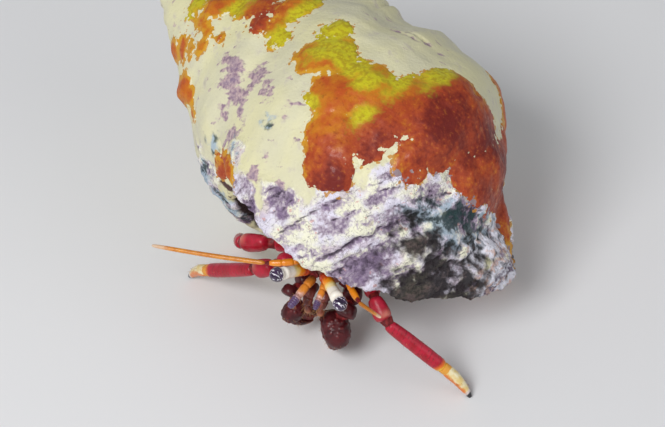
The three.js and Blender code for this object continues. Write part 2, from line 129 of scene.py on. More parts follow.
def mark(piece, name, values):
    """Writes one number to each point, for the piece's finish to read."""
    layer = piece.data.attributes.new(name, "FLOAT", "POINT")
    layer.data.foreach_set("value", np.asarray(values, dtype=np.float32))


def lumps(points, size, octaves):
    """Soft random lumps of about this size, from -1 to 1."""
    return np.array([noise.fractal(Vector(p) / size, 1.0, 2.0, octaves) for p in points])


def ridges(points, size):
    """Sharp random ridges about this far apart, from -2 in the hollows to 1 on the ridges."""
    heights = [noise.ridged_multi_fractal(Vector(p) / size, 1.0, 2.0, 4, 1.0, 2.0) for p in points]
    return np.clip((np.array(heights) - 1.15) / 0.4, -2, 1)


def pits(points, size):
    """Distance from the nearest of many random middles: 0 at a middle, about 1 between them."""
    return np.array([noise.voronoi(Vector(p) / size)[0][0] for p in points])


def fade(values, low, high):
    """0 below low, 1 above high and smooth between them."""
    share = np.clip((values - low) / (high - low), 0, 1)
    return share * share * (3 - 2 * share)


def hump(values, middle, width):
    """1 at the middle, and down to almost 0 at twice this width from it."""
    return np.exp(-((values - middle) / width) ** 2)


def unevenness(points):
    """Millimetres by which the worn surface rises and falls."""
    return 0.14 * lumps(points, 5.0 * MM, 2) + 0.04 * lumps(points, 1.3 * MM, 3)


def straying(points):
    """Millimetres by which the rim of a crust strays out and in."""
    return 0.4 * lumps(points, 1.5 * MM, 4)


def ledges(depths, spacing):
    """Steps down a slope: up evenly from about -0.7 to 1 over each spacing, then a sharp drop."""
    share = (depths / spacing) % 1
    return 2 * share + 1 - 2 * fade(share, 0, 0.14)


def around_shell(points):
    """Degrees round from the outer lip, share of the length from the apex, and radius."""
    from_apex = points - np.array(apex)
    along = -from_apex @ np.array(towards_apex) / SHELL_LENGTH
    out = from_apex @ np.array(towards_lip)
    across = from_apex @ np.array(across_lip)
    return np.degrees(np.arctan2(across, out)) % 360, along, np.hypot(out, across)


def spread(points, spots):
    """Millimetres that each point lies inside the nearest spot's edge. A spot on the shell is
    (degrees round, share of the length, half its width round the shell, half its height)."""
    turn, along, radius = around_shell(points)
    inside = np.full(len(points), -99.0)
    for spot_turn, spot_along, half_width, half_height in spots:
        aside = np.radians((turn - spot_turn + 180) % 360 - 180) * radius / MM
        apart = (along - spot_along) * SHELL_LENGTH / MM
        depth = 1 - np.hypot(aside / half_width, apart / half_height)
        inside = np.maximum(inside, depth * min(half_width, half_height))
    return inside


class Finish:
    """One material, put together from small steps."""

    def __init__(self, name, **settings):
        self.material = bpy.data.materials.new(name)
        self.material.use_nodes = True
        self.tree = self.material.node_tree
        self.shader = self.tree.nodes["Principled BSDF"]
        self.place = self.tree.nodes.new("ShaderNodeTexCoord").outputs["Object"]
        for socket, value in settings.items():
            self.feed(value, self.shader.inputs[socket.replace("_", " ")])

    def feed(self, value, socket):
        if isinstance(value, bpy.types.NodeSocket):
            self.tree.links.new(value, socket)
        else:
            socket.default_value = value

    def grain(self, size, detail, stretch=(1, 1, 1)):
        """A soft random pattern of this size in millimetres, from 0 to 1."""
        mapping = self.tree.nodes.new("ShaderNodeMapping")
        mapping.inputs["Scale"].default_value = stretch
        self.feed(self.place, mapping.inputs["Vector"])
        pattern = self.tree.nodes.new("ShaderNodeTexNoise")
        pattern.inputs["Scale"].default_value = 1 / (size * MM)
        pattern.inputs["Detail"].default_value = detail
        self.feed(mapping.outputs["Vector"], pattern.inputs["Vector"])
        return pattern.outputs["Fac"]

    def cells(self, size):
        """Distance from the middles of random cells of this size."""
        pattern = self.tree.nodes.new("ShaderNodeTexVoronoi")
        pattern.inputs["Scale"].default_value = 1 / (size * MM)
        self.feed(self.place, pattern.inputs["Vector"])
        return pattern.outputs["Distance"]

    def mark(self, name):
        """The numbers that the piece carries under this name."""
        reader = self.tree.nodes.new("ShaderNodeAttribute")
        reader.attribute_name = name
        return reader.outputs["Fac"]

    def reckon(self, operation, *values):
        """One step of arithmetic on up to three values."""
        step = self.tree.nodes.new("ShaderNodeMath")
        step.operation = operation
        for value, socket in zip(values, step.inputs):
            self.feed(value, socket)
        return step.outputs[0]

    def sum(self, first, second, share=1.0):
        """first + second * share"""
        return self.reckon("MULTIPLY_ADD", second, share, first)

    def times(self, first, second):
        return self.reckon("MULTIPLY", first, second)

    def ragged(self, value, pattern, amount):
        """The value, made uneven by a pattern: up or down by half the amount at most."""
        return self.sum(value, self.sum(pattern, -0.5), amount)

    def fade(self, value, low, high, start=0.0, end=1.0):
        """start where value is at low or beyond it, end where it is at high, smooth between."""
        step = self.tree.nodes.new("ShaderNodeMapRange")
        step.interpolation_type = "SMOOTHSTEP"
        limits = {"From Min": low, "From Max": high, "To Min": start, "To Max": end}
        for socket, number in limits.items():
            step.inputs[socket].default_value = number
        self.feed(value, step.inputs["Value"])
        return step.outputs["Result"]

    def mix(self, amount, first, second):
        """The first colour where the amount is 0, the second where it is 1."""
        step = self.tree.nodes.new("ShaderNodeMix")
        step.data_type = "RGBA"
        for value, socket in ((amount, 0), (first, 6), (second, 7)):
            if isinstance(value, tuple):
                value = (*value, 1.0)
            self.feed(value, step.inputs[socket])
        return step.outputs[2]

    def lay(self, under, coat, value, low, high, most=1.0):
        """A coat of colour laid over another: none of it where value is at low, most at high."""
        return self.mix(self.fade(value, low, high, 0.0, most), under, coat)

    def bump(self, height, depth, under=None):
        """Relief of this depth in millimetres, over an earlier relief."""
        step = self.tree.nodes.new("ShaderNodeBump")
        step.inputs["Distance"].default_value = depth * MM
        self.feed(height, step.inputs["Height"])
        if under:
            self.feed(under, step.inputs["Normal"])
        return step.outputs["Normal"]

    def look(self, colour, roughness=None, normal=None):
        if isinstance(colour, tuple):
            colour = (*colour, 1.0)
        self.feed(colour, self.shader.inputs["Base Color"])
        if roughness:
            self.feed(roughness, self.shader.inputs["Roughness"])
        if normal:
            self.feed(normal, self.shader.inputs["Normal"])

    def cover(self, piece):
        piece.data.materials.clear()
        piece.data.materials.append(self.material)
        for face in piece.data.polygons:
            face.use_smooth = True


def crevices(piece):
    """How far each point lies below the middle of its neighbours: over 0 in hollows."""
    points = points_of(piece)
    edges = np.empty(2 * len(piece.data.edges), dtype=np.int64)
    piece.data.edges.foreach_get("vertices", edges)
    ends = edges.reshape(-1, 2)
    total = np.zeros_like(points)
    count = np.zeros(len(points))
    for one, other in ((0, 1), (1, 0)):
        np.add.at(total, ends[:, one], points[ends[:, other]])
        np.add.at(count, ends[:, one], 1)
    middle = total / count[:, None]
    return ((middle - points) * points_of(piece, "normal")).sum(axis=1)


# Where the crusts, the gaps in them, the worn lime, the scars, the deep recess and the stains lie,
# as spots on the shell. The recess and some of the stain spots, by the lip and on the underside,
# mark where shade is painted.
crust_spots = [
    # The great sheet over the last turn, from its middle out to its lobes and its upper arm.
    (63, 0.66, 3.6, 2.2), (58, 0.58, 2.4, 2.6), (60, 0.50, 1.6, 2.0), (79, 0.69, 2.6, 2.9),
    (64, 0.74, 3.4, 2.4), (81, 0.755, 2.9, 2.4), (80, 0.825, 2.8, 1.6), (63, 0.812, 1.6, 1.7),
    (97, 0.815, 2.6, 1.0), (70, 0.848, 1.4, 1.0), (88, 0.855, 1.8, 1.0), (105, 0.87, 1.0, 1.6),
    (104, 0.905, 0.6, 1.2), (50, 0.733, 1.9, 1.35), (47, 0.752, 1.2, 0.7), (48, 0.630, 1.5, 1.7),
    (48, 0.662, 1.6, 1.3), (53, 0.652, 1.5, 1.0), (43, 0.672, 1.6, 0.8), (30, 0.632, 1.9, 2.3),
    (29, 0.665, 1.2, 0.9), (38, 0.60, 2.5, 2.3), (48, 0.545, 2.1, 2.6), (56, 0.46, 1.8, 1.8),
    (63, 0.455, 1.6, 1.0), (66, 0.475, 1.2, 1.4), (71, 0.44, 1.5, 1.3),
    # The turns of the spire.
    (45, 0.155, 1.3, 0.9), (35, 0.20, 0.7, 1.4), (36, 0.25, 0.5, 0.5), (54, 0.195, 1.4, 1.2),
    (68, 0.26, 1.6, 2.2), (57, 0.304, 1.0, 0.9), (61, 0.335, 1.4, 0.9), (56, 0.36, 1.1, 0.8),
    (80, 0.33, 3.2, 1.35), (75, 0.23, 2.2, 2.6), (92, 0.28, 2.4, 2.8), (105, 0.31, 2.2, 2.0),
    # The outer side of the spire, and the corner where the lip leaves the turn above it.
    (20, 0.227, 0.8, 0.5), (10, 0.208, 0.9, 0.6), (358, 0.185, 1.1, 0.8), (342, 0.165, 1.2, 0.9),
    (350, 0.238, 0.9, 0.9), (344, 0.250, 1.3, 1.3), (334, 0.235, 1.6, 1.2),
    (343, 0.288, 0.7, 0.8), (357, 0.435, 1.5, 1.1), (1, 0.458, 0.9, 1.2), (349, 0.417, 1.0, 0.8),
    (342, 0.425, 0.7, 0.7),
    # The far side and the back.
    (126, 0.69, 1.3, 1.7), (125, 0.74, 1.4, 1.9), (115, 0.79, 1.6, 1.3), (150, 0.60, 3.0, 3.6),
    (166, 0.68, 3.4, 2.6), (150, 0.74, 2.6, 2.4), (215, 0.42, 2.2, 1.6), (228, 0.47, 2.0, 1.2),
    (238, 0.50, 1.0, 0.8), (218, 0.375, 1.0, 0.8), (265, 0.30, 1.4, 0.8), (258, 0.325, 0.7, 0.9),
]
bare_spots = [(54, 0.545, 0.22, 0.2), (55, 0.229, 0.9, 0.2)]
worn_spots = [
    # The outer lip and the last turn near it.
    (18, 0.70, 4.4, 2.9), (10, 0.62, 2.2, 3.0), (3, 0.72, 4.0, 4.0), (35, 0.735, 3.6, 1.8),
    (30, 0.80, 5.0, 2.6), (50, 0.80, 2.4, 1.4), (10, 0.82, 4.5, 3.0), (45, 0.86, 4.0, 2.0),
    (20, 0.90, 4.0, 2.0), (70, 0.91, 5.0, 1.4), (2, 0.53, 1.6, 2.2), (4, 0.62, 2.0, 2.4),
    (0, 0.96, 5.0, 2.4), (350, 0.62, 4.0, 6.0), (340, 0.85, 4.0, 4.0),
    # The corner above the lip, the lower end of the shell and the back.
    (8, 0.45, 1.6, 0.8), (330, 0.385, 2.2, 2.2), (316, 0.445, 2.4, 2.4), (130, 0.86, 4.0, 2.6),
    (180, 0.94, 5.0, 2.4), (175, 0.80, 4.0, 3.0), (245, 0.60, 5.0, 5.0),
]
scar_spots = [(91, 0.53, 0.28, 1.3), (95, 0.555, 0.26, 1.1)]
# The deep recess beside the lip: it is cut in a little and painted dark as shade.
hollow_spots = [
    (330, 0.480, 1.0, 0.9), (323, 0.495, 1.5, 1.1), (316, 0.512, 1.7, 1.0), (310, 0.524, 1.0, 0.8),
]
stains_and_shade = {
    # Lavender patches; on their low places purple shade is painted over them.
    "lavender": scar_spots + [
        (31, 0.322, 1.2, 1.2), (25, 0.340, 1.6, 1.6), (23, 0.372, 1.2, 1.3), (19, 0.400, 0.6, 1.0),
        (34, 0.385, 1.2, 1.0), (33, 0.425, 0.9, 1.2), (10, 0.365, 0.6, 0.6), (36, 0.494, 0.6, 0.5),
        (8, 0.42, 1.6, 0.9), (11, 0.520, 1.5, 0.7), (29, 0.54, 0.6, 0.3), (13, 0.575, 1.0, 0.9),
        (12, 0.79, 5.0, 1.7), (30, 0.78, 2.4, 0.9), (22, 0.787, 3.4, 1.3), (126, 0.49, 0.8, 1.5),
        (133, 0.51, 1.4, 0.6), (137, 0.54, 0.6, 1.0), (186, 0.54, 1.5, 0.8), (192, 0.57, 0.8, 1.3),
        (198, 0.60, 0.5, 0.5), (240, 0.36, 1.2, 0.7), (233, 0.375, 0.6, 0.9), (120, 0.38, 1.2, 0.7),
        (113, 0.395, 0.6, 0.8), (160, 0.42, 0.6, 1.0), (167, 0.44, 0.9, 0.5),
    ],
    "green": [
        (41, 0.838, 2.1, 1.5), (37, 0.805, 1.6, 1.1), (50, 0.875, 1.6, 0.8), (36, 0.866, 1.1, 1.0),
        (8, 0.44, 0.5, 0.5), (325, 0.375, 1.5, 1.2), (322, 0.425, 1.5, 1.3), (314, 0.470, 1.3, 1.4),
        (352, 0.385, 0.8, 0.7), (26, 0.471, 0.4, 0.4), (200, 0.72, 2.4, 1.6), (300, 0.36, 1.6, 1.0),
    ],
    "bleached": [
        (46, 0.905, 2.4, 1.7), (26, 0.948, 2.8, 1.5), (85, 0.905, 3.0, 1.7), (40, 0.878, 1.2, 0.9),
        (32, 0.880, 1.1, 0.6),
    ],
    # Dark stains; on the underside they are darker still, as painted shade.
    "dark": [
        (3, 0.880, 4.4, 1.9), (15, 0.892, 2.4, 1.1), (33, 0.80, 1.1, 0.6), (335, 0.8, 4.0, 3.0),
        (8, 0.925, 3.0, 1.2), (3, 0.860, 3.0, 1.4), (24, 0.858, 1.1, 1.1), (30, 0.845, 1.1, 1.3),
        (26, 0.828, 1.5, 1.1), (26, 0.795, 2.2, 0.4),
    ],
    # Painted shade beside the lip.
    "painted_lip_shade": [
        (357, 0.57, 0.5, 1.2), (357, 0.60, 0.8, 1.0), (336, 0.70, 3.6, 4.0), (338, 0.445, 0.5, 0.7),
        (335, 0.465, 0.6, 0.8),
    ],
}

shell = copy_solids("worn_shell", "shell")
crust = copy_solids("orange_crust", "shell")
rebuild(shell, 0.25, 3)
shell_walls = BVHTree.FromPolygons(
    [v.co for v in shell.data.vertices],
    [face.vertices[:] for face in shell.data.polygons],
)


def faces_a_wall(place, outward):
    """Whether a line straight out from this point meets the shell again, as it does inside."""
    clear, across_the_shell = 0.3 * MM, 24 * MM
    hit = shell_walls.ray_cast(Vector(place + clear * outward), Vector(outward), across_the_shell)
    return hit[0] is not None


places = points_of(shell)
outwards = points_of(shell, "normal")
inside = np.array([faces_a_wall(p, n) for p, n in zip(places, outwards)], dtype=float)
open_air = 1 - inside
turn, along, radius = around_shell(places)

# The turns meet in a worn seam, which winds round the shell once in each turn. It lies at
# this share of the length straight above the lip, and grows by this much in each turn.
SUTURE = 0.33
TURN_GROWTH = 1.483
behind = along * TURN_GROWTH ** (turn / 360)
turns_in = np.maximum(0, np.ceil(np.log(SUTURE / np.maximum(behind, 0.01)) / math.log(TURN_GROWTH)))
station = behind * TURN_GROWTH ** turns_in
size = along / station
bared = fade(turn, 75, 120) * (1 - fade(turn, 325, 350))
from_seam = (station - SUTURE) * size * SHELL_LENGTH / MM
to_seam = (station / TURN_GROWTH - SUTURE) * TURN_GROWTH * size * SHELL_LENGTH / MM
seam = hump(from_seam, 0, 0.45) + hump(to_seam, 0, 0.30)

# Fine cords run round the shell, this many to its length on the last turn and closer on the
# others. Growth lines cross them, this many to a turn.
CORDS, GROWTH_LINES = 24, 40
cords = np.sin(2 * np.pi * CORDS * station) * fade(lumps(places, 6 * MM, 2), -0.4, 0.4)
growth = np.sin(np.radians(turn) * GROWTH_LINES + 3 * lumps(places, 4 * MM, 2))
coiling = bared * (-0.26 * seam + 0.035 * cords * size) + 0.012 * growth * size

# The lower part is flaked in layers, gritty and pitted, and a cleft runs across it with the
# grain of the layers. The cleft starts at this share of the length, and each radian round the
# shell takes it on by this much more. The layers, and the leaves of each, lie so many
# millimetres apart.
CLEFT_START, CLEFT_SLOPE = 0.704, 0.15
LAYERS, LEAVES = 4.1, 1.3
grain_way = np.array(-0.46 * towards_apex - 0.46 * towards_lip + 0.76 * across_lip)
drawn = places - 0.55 * (places @ grain_way)[:, None] * grain_way
worn = fade(spread(places, worn_spots) + 0.9 * lumps(places, 2.2 * MM, 4), -0.3, 0.9) * open_air
past_lip = np.radians((turn + 180) % 360 - 180)
below_cleft = (along - CLEFT_START - CLEFT_SLOPE * past_lip) * SHELL_LENGTH / MM
flaked = ledges(below_cleft + 1.1 * lumps(drawn, 3.0 * MM, 4), LAYERS)
leaves = ledges(below_cleft + 0.9 * lumps(drawn, 1.6 * MM, 4), LEAVES)
from_cleft = below_cleft + 0.4 * lumps(places, 1.4 * MM, 4)
near_cleft = fade(np.degrees(past_lip), 3, 9) * (1 - fade(np.degrees(past_lip), 34, 42))
cleft = hump(from_cleft, 0.1, 0.28) * near_cleft
ridged = ridges(drawn, 2.4 * MM)
gritty = lumps(places, 0.8 * MM, 4)
scars = fade(spread(places, scar_spots), -0.05, 0.1)
hollow = fade(spread(places, hollow_spots) + 0.5 * lumps(places, 1.2 * MM, 3), -0.3, 0.4)
overgrown = spread(places, crust_spots) + straying(places)
under_crust = fade(overgrown, -0.1, 0.4)

# How far out each point is moved, in millimetres.
coarse = 0.12 * ridged + 0.13 * flaked + 0.07 * leaves + 0.06 * gritty
cut_in = 0.35 * cleft + 0.2 * scars + 0.9 * hollow + 0.1 * under_crust
away = (unevenness(places) + coiling - cut_in) * open_air + worn * coarse * (1 - under_crust)
move_points(shell, away * MM)

# Whatever would now reach below the floor is flattened.
settled = points_of(shell)
settled[:, 2] = np.maximum(settled[:, 2], 0)
place_points(shell, settled)

mark(shell, "inside", inside)
mark(shell, "worn", worn)
mark(shell, "recess", hollow)
for stain_and_shade, spots in stains_and_shade.items():
    mark(shell, stain_and_shade, spread(places, spots))
mark(shell, "height", ridged + 0.5 * flaked + 0.5 * leaves + 0.4 * gritty - 1.6 * cleft)
mark(shell, "overgrown", overgrown)
# How deep each point lies in a hollow, for painting shade into the hollows.
mark(shell, "hollow", crevices(shell) / (0.05 * MM))

# Smooth cream lime, with lavender patches.
lime = Finish("worn lime", Specular_IOR_Level=0.3)
fine = lime.grain(0.30, 4)
medium = lime.grain(1.1, 4)
broad = lime.grain(4.5, 3)
cream = lime.lay((0.76, 0.72, 0.44), (0.70, 0.67, 0.47), broad, 0.35, 0.65)
cream = lime.lay(cream, (0.62, 0.56, 0.47), medium, 0.56, 0.72, 0.6)
cream = lime.lay(cream, (0.50, 0.44, 0.36), fine, 0.60, 0.75, 0.35)
purple = lime.lay((0.30, 0.20, 0.26), (0.58, 0.43, 0.43), fine, 0.35, 0.62)
streaks = lime.grain(0.9, 6, (0.7, 1.6, 1.0))
cream = lime.lay(cream, purple, streaks, 0.66, 0.70, 0.7)
uneven = lime.ragged(lime.sum(medium, -0.5), streaks, 1.3)
patches = lime.sum(lime.mark("lavender"), uneven, 2.4)
cream = lime.lay(cream, purple, patches, 0.0, 0.5)

# Gritty lime where it is worn, its colour following the height of the surface: nearly black in
# its pits, which is painted shade, and pale on its high places, with purple blotches, pink specks
# and hair cracks, and bleached near the lower end.
level = lime.ragged(lime.mark("height"), lime.grain(0.7, 4), 3.6)
level = lime.ragged(level, lime.grain(0.28, 5), 4.2)
# Painted shade: the lower the surface, the darker the lime, down to nearly black in the pits.
grit_with_pit_shade = lime.lay((0.04, 0.028, 0.045), (0.29, 0.22, 0.31), level, -2.6, -1.5)
grit_with_pit_shade = lime.lay(grit_with_pit_shade, (0.52, 0.44, 0.52), level, -1.6, -0.6)
pale = lime.lay((0.91, 0.89, 0.70), (0.79, 0.75, 0.87), lime.grain(2.4, 4), 0.42, 0.58)
grit_with_pit_shade = lime.lay(grit_with_pit_shade, pale, level, -0.8, 0.5)
# The purple blotches are also darker in the pits, as painted shade.
mauve = lime.lay((0.24, 0.16, 0.29), (0.60, 0.48, 0.56), level, -0.8, 0.4)
grit_with_pit_shade = lime.lay(grit_with_pit_shade, mauve, lime.grain(1.5, 5), 0.53, 0.64, 0.62)
grit_with_pit_shade = lime.lay(grit_with_pit_shade, (0.68, 0.36, 0.34), lime.grain(0.7, 3), 0.66, 0.70, 0.7)
# Painted shade: the hollows of the worn lime are darkened.
grit_with_pit_shade = lime.lay(grit_with_pit_shade, (0.05, 0.035, 0.05), lime.mark("hollow"), 0.3, 1.6, 0.8)
wavy = lime.grain(1.0, 6)
cracks = lime.times(lime.fade(wavy, 0.480, 0.496), lime.fade(wavy, 0.512, 0.496))
grit_with_pit_shade = lime.mix(lime.times(cracks, 0.55), grit_with_pit_shade, (0.11, 0.08, 0.10))
bleached = lime.sum(lime.mark("bleached"), uneven, 2.4)
blanched_with_pit_shade = lime.lay((0.80, 0.79, 0.88), (0.72, 0.50, 0.44), lime.grain(0.9, 4), 0.5, 0.62)
# Painted shade: the bleached lime is darker in its pits.
blanched_with_pit_shade = lime.lay((0.22, 0.18, 0.24), blanched_with_pit_shade, level, -2.6, -1.0)
grit_with_pit_shade = lime.lay(grit_with_pit_shade, blanched_with_pit_shade, bleached, 0.0, 0.5)
wear = lime.mark("worn")
surface = lime.lay(cream, grit_with_pit_shade, lime.sum(wear, fine, 0.5), 0.5, 0.9)

# Over both lie purple shade, painted on the low places of the lavender patches, green-blue
# growth, sooty stains that are also painted shade on the underside, painted shade by the lip,
# the recess painted dark as shade, a rusty edge to the crusts, and the inside painted dark as shade.
# Painted shade: the low places of the lavender patches are darkened to purple.
shaded = lime.times(lime.fade(patches, 0.0, 1.8, 0.0, 0.7), lime.fade(level, 1.2, -0.3))
surface = lime.mix(shaded, surface, (0.22, 0.155, 0.26))
algae = lime.sum(lime.mark("green"), uneven, 3.0)
# The growth is painted nearly black in its pits, as shade.
teal = lime.lay((0.02, 0.055, 0.055), (0.37, 0.48, 0.58), level, -0.6, 0.7)
surface = lime.lay(surface, teal, algae, -0.4, 0.8, 0.9)
# Sooty stains, darkened further on the underside as painted shade.
stain_and_shade = lime.sum(lime.mark("dark"), uneven, 2.6)
soot_and_shade = lime.lay((0.010, 0.006, 0.006), (0.075, 0.048, 0.046), level, 0.2, 2.0)
surface = lime.lay(surface, soot_and_shade, stain_and_shade, -0.6, 0.8, 0.96)
# Painted shade: dark red-brown beside the lip.
painted_lip_shade = lime.sum(lime.mark("painted_lip_shade"), uneven, 1.6)
surface = lime.lay(surface, (0.06, 0.012, 0.010), painted_lip_shade, -0.1, 0.3)
# Painted shade: the recess is painted nearly black.
recess = lime.ragged(lime.mark("recess"), medium, 0.8)
surface = lime.lay(surface, (0.024, 0.010, 0.010), recess, 0.1, 0.6)
flecks = lime.ragged(lime.mark("overgrown"), lime.grain(0.5, 6), 3.0)
surface = lime.lay(surface, (0.55, 0.25, 0.03), flecks, 0.05, 0.15, 0.9)
# Painted shade: the inside of the shell, where its walls face each other, is painted dark.
surface = lime.lay(surface, (0.035, 0.012, 0.013), lime.mark("inside"), 0.3, 0.8)

relief = lime.bump(fine, 0.05)
relief = lime.bump(lime.grain(0.13, 3), 0.02, relief)
relief = lime.bump(lime.times(lime.grain(0.45, 5), wear), 0.26, relief)
relief = lime.bump(lime.times(lime.grain(0.2, 4), wear), 0.12, relief)
lime.look(surface, lime.fade(wear, 0, 1, 0.42, 0.8), relief)
lime.cover(shell)

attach(shell, "root")
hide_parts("shell")


# ---- The crusts ----
# Living crusts of sponge and moss animals over the shell, in lobed sheets under 1 mm thick,
# wet and glossy, orange to red-brown with yellow growing edges. They are cut from the second
# copy of the shell's solid and made closed bodies, whose rims plunge into the shell.

yellow_spots = [
    (71, 0.44, 2.0, 1.6), (63, 0.455, 2.0, 0.9), (64, 0.485, 1.3, 1.4), (61, 0.53, 1.2, 1.4),
    (60, 0.575, 1.2, 1.1), (66, 0.615, 1.7, 0.8), (80, 0.648, 2.4, 0.9), (49, 0.618, 0.8, 0.45),
    (41, 0.525, 0.8, 0.8), (44, 0.145, 1.4, 0.7), (57, 0.36, 1.3, 0.9), (80, 0.348, 3.2, 0.6),
    (66, 0.235, 1.8, 0.7), (160, 0.62, 1.2, 1.6), (153, 0.66, 1.0, 0.8), (212, 0.385, 1.6, 0.6),
    (222, 0.395, 0.8, 0.5),
]
red_spots = [
    (68, 0.73, 4.4, 2.8), (84, 0.79, 3.6, 2.2), (28, 0.660, 3.4, 2.2), (40, 0.672, 2.2, 1.2),
    (97, 0.83, 3.4, 2.4), (48, 0.665, 1.8, 1.6), (50, 0.75, 1.8, 0.9), (60, 0.295, 1.8, 0.8),
    (352, 0.44, 1.2, 1.0), (165, 0.70, 2.6, 1.6), (66, 0.80, 2.2, 1.4), (68, 0.845, 1.8, 1.6),
    (150, 0.585, 1.2, 0.8),
]

# A point is kept where it lies in a spot of crust, or less than this many millimetres outside
# one, unless it lies well inside a bare spot or faces a wall of the shell.
RIM = 0.2
rebuild(crust, 0.2, 4)
places = points_of(crust)
outwards = points_of(crust, "normal")
stray = straying(places)
depth = np.minimum(spread(places, crust_spots) + stray, 0.2 * stray - spread(places, bare_spots))
kept = depth > -RIM
for i in np.flatnonzero(kept):
    kept[i] = not faces_a_wall(places[i], outwards[i])
pick(crust)
bpy.ops.object.mode_set(mode="EDIT")
bpy.ops.mesh.select_mode(type="VERT")
bpy.ops.mesh.select_all(action="DESELECT")
bpy.ops.object.mode_set(mode="OBJECT")
crust.data.vertices.foreach_set("select", ~kept)
bpy.ops.object.mode_set(mode="EDIT")
bpy.ops.mesh.delete(type="VERT")
bpy.ops.object.mode_set(mode="OBJECT")

# How proud of the shell the sheet stands at its rim, how much more it does further in, and
# how thick it is, in millimetres. Most of its thickness is sunk in the shell.
PROUD_AT_RIM, MORE_WITHIN, THICKNESS = 0.04, 0.20, 0.75
places = points_of(crust)
proud = PROUD_AT_RIM + MORE_WITHIN * fade(depth[kept], -0.1, 1.4) + 0.05 * lumps(places, 2.4 * MM, 3)
move_points(crust, (unevenness(places) + proud) * MM)
work(crust, "SOLIDIFY", thickness=THICKNESS * MM, offset=-1)
rebuild(crust, 0.17, 3)
places = points_of(crust)
knobbly = 0.05 * lumps(places, 0.9 * MM, 3) - 0.06 * fade(0.3 - pits(places, 1.7 * MM), 0, 0.2)
move_points(crust, knobbly * MM)
mark(crust, "rim", spread(places, crust_spots) + straying(places))
mark(crust, "yellow", spread(places, yellow_spots))
mark(crust, "red", spread(places, red_spots))
mark(crust, "worn", spread(places, worn_spots))
mark(crust, "hollow", crevices(crust) / (0.03 * MM))

sponge = Finish("orange crust", Specular_IOR_Level=0.25, Coat_Weight=0.12, Coat_Roughness=0.14)
medium = sponge.grain(1.3, 5)
small = sponge.grain(0.35, 5)
uneven = sponge.ragged(sponge.sum(medium, -0.5), small, 0.6)
colour = sponge.lay((0.57, 0.18, 0.010), (0.50, 0.085, 0.012), medium, 0.35, 0.65)
redness = sponge.sum(sponge.mark("red"), uneven, 4.0)
colour = sponge.lay(colour, (0.38, 0.054, 0.014), redness, -2.2, 0.6)
colour = sponge.lay(colour, (0.17, 0.015, 0.010), redness, 0.0, 2.2)
colour = sponge.lay(colour, (0.14, 0.012, 0.008), small, 0.56, 0.74, 0.4)
colour = sponge.lay(colour, (0.72, 0.27, 0.03), small, 0.42, 0.28, 0.2)
edge = sponge.fade(sponge.sum(sponge.mark("rim"), uneven, 0.8), 0.15, 0.5, 0.55, 0.0)
golden_edge = sponge.times(edge, sponge.fade(redness, -1.5, 0.0, 1.0, 0.0))
colour = sponge.mix(golden_edge, colour, (0.68, 0.42, 0.02))
yellowness = sponge.sum(sponge.mark("yellow"), uneven, 2.4)
gold = sponge.lay((0.60, 0.54, 0.015), (0.46, 0.34, 0.012), small, 0.4, 0.65)
colour = sponge.lay(colour, gold, yellowness, -0.7, 0.4)
# Painted shade in the crust's hollows.
colour = sponge.lay(colour, (0.10, 0.02, 0.01), sponge.mark("hollow"), 0.2, 1.2, 0.6)
holes = sponge.ragged(sponge.mark("rim"), sponge.grain(0.5, 6), 2.4)
beside = sponge.lay((0.74, 0.70, 0.48), (0.30, 0.22, 0.24), sponge.mark("worn"), -0.2, 0.4)
colour = sponge.lay(colour, beside, holes, -0.05, -0.15)
relief = sponge.bump(sponge.grain(0.12, 3), 0.015, sponge.bump(small, 0.06))
sponge.look(colour, sponge.fade(small, 0.3, 0.7, 0.45, 0.65), relief)
sponge.cover(crust)

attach(crust, "root")


# ---- The soft body ----
# The trunk, which the legs stand out from, and the soft abdomen, which winds back into the
# shell and grips it. One thin, wrinkled skin covers both, so no seam shows between them.


def centre_of(node):
    """The middle of a solid's box."""
    low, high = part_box(node)
    return (np.array(low) + np.array(high)) / 2


def new_piece(name, points, faces):
    """A new piece of these points and faces, selected for more work."""
    mesh = bpy.data.meshes.new(name)
    mesh.from_pydata(points, [], faces)
    piece = bpy.data.objects.new(name, mesh)
    bpy.context.collection.objects.link(piece)
    pick(piece)
    return piece


def bridge(name, one, other, reach, girth):
    """A closed lump of skin round the facing ends of two solids. It takes in each of their points
    that is less than this reach, in millimetres, further from the other solid than the nearest
    one is. Girth makes the whole lump larger or smaller."""
    first, second = (points_of(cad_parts[node]) for node in (one, other))
    gaps = np.linalg.norm(first[:, None] - second[None], axis=2)
    near_first = first[gaps.min(axis=1) < gaps.min() + reach * MM]
    near_second = second[gaps.min(axis=0) < gaps.min() + reach * MM]
    ends = np.vstack([near_first, near_second])
    ends = ends.mean(axis=0) + girth * (ends - ends.mean(axis=0))
    piece = new_piece(name, ends, [])
    bpy.ops.object.mode_set(mode="EDIT")
    bpy.ops.mesh.select_all(action="SELECT")
    bpy.ops.mesh.convex_hull()
    bpy.ops.mesh.remove_doubles(threshold=0.001 * MM)
    bpy.ops.object.mode_set(mode="OBJECT")
    return piece


def join(pieces):
    """Joins pieces into the first of them."""
    bpy.ops.object.select_all(action="DESELECT")
    for piece in pieces:
        piece.select_set(True)
    bpy.context.view_layer.objects.active = pieces[0]
    bpy.ops.object.join()
    return pieces[0]


soft_body = copy_solids("soft_body", "thorax", "abdomen")
soft_body = join([soft_body, bridge("waist", "thorax", "abdomen", 0.9, 0.95)])
rebuild(soft_body, 0.17, 10)
places = points_of(soft_body)
body_axis = np.array(Vector(centre_of("abdomen") - centre_of("thorax")).normalized())
RING_GAP = 0.8 * MM
rings = np.sin(2 * np.pi * (places @ body_axis) / RING_GAP + 2.0 * lumps(places, 2.0 * MM, 2))
move_points(soft_body, (0.03 * rings + 0.06 * lumps(places, 0.8 * MM, 3)) * MM)
mark(soft_body, "hollow", crevices(soft_body) / (0.03 * MM))

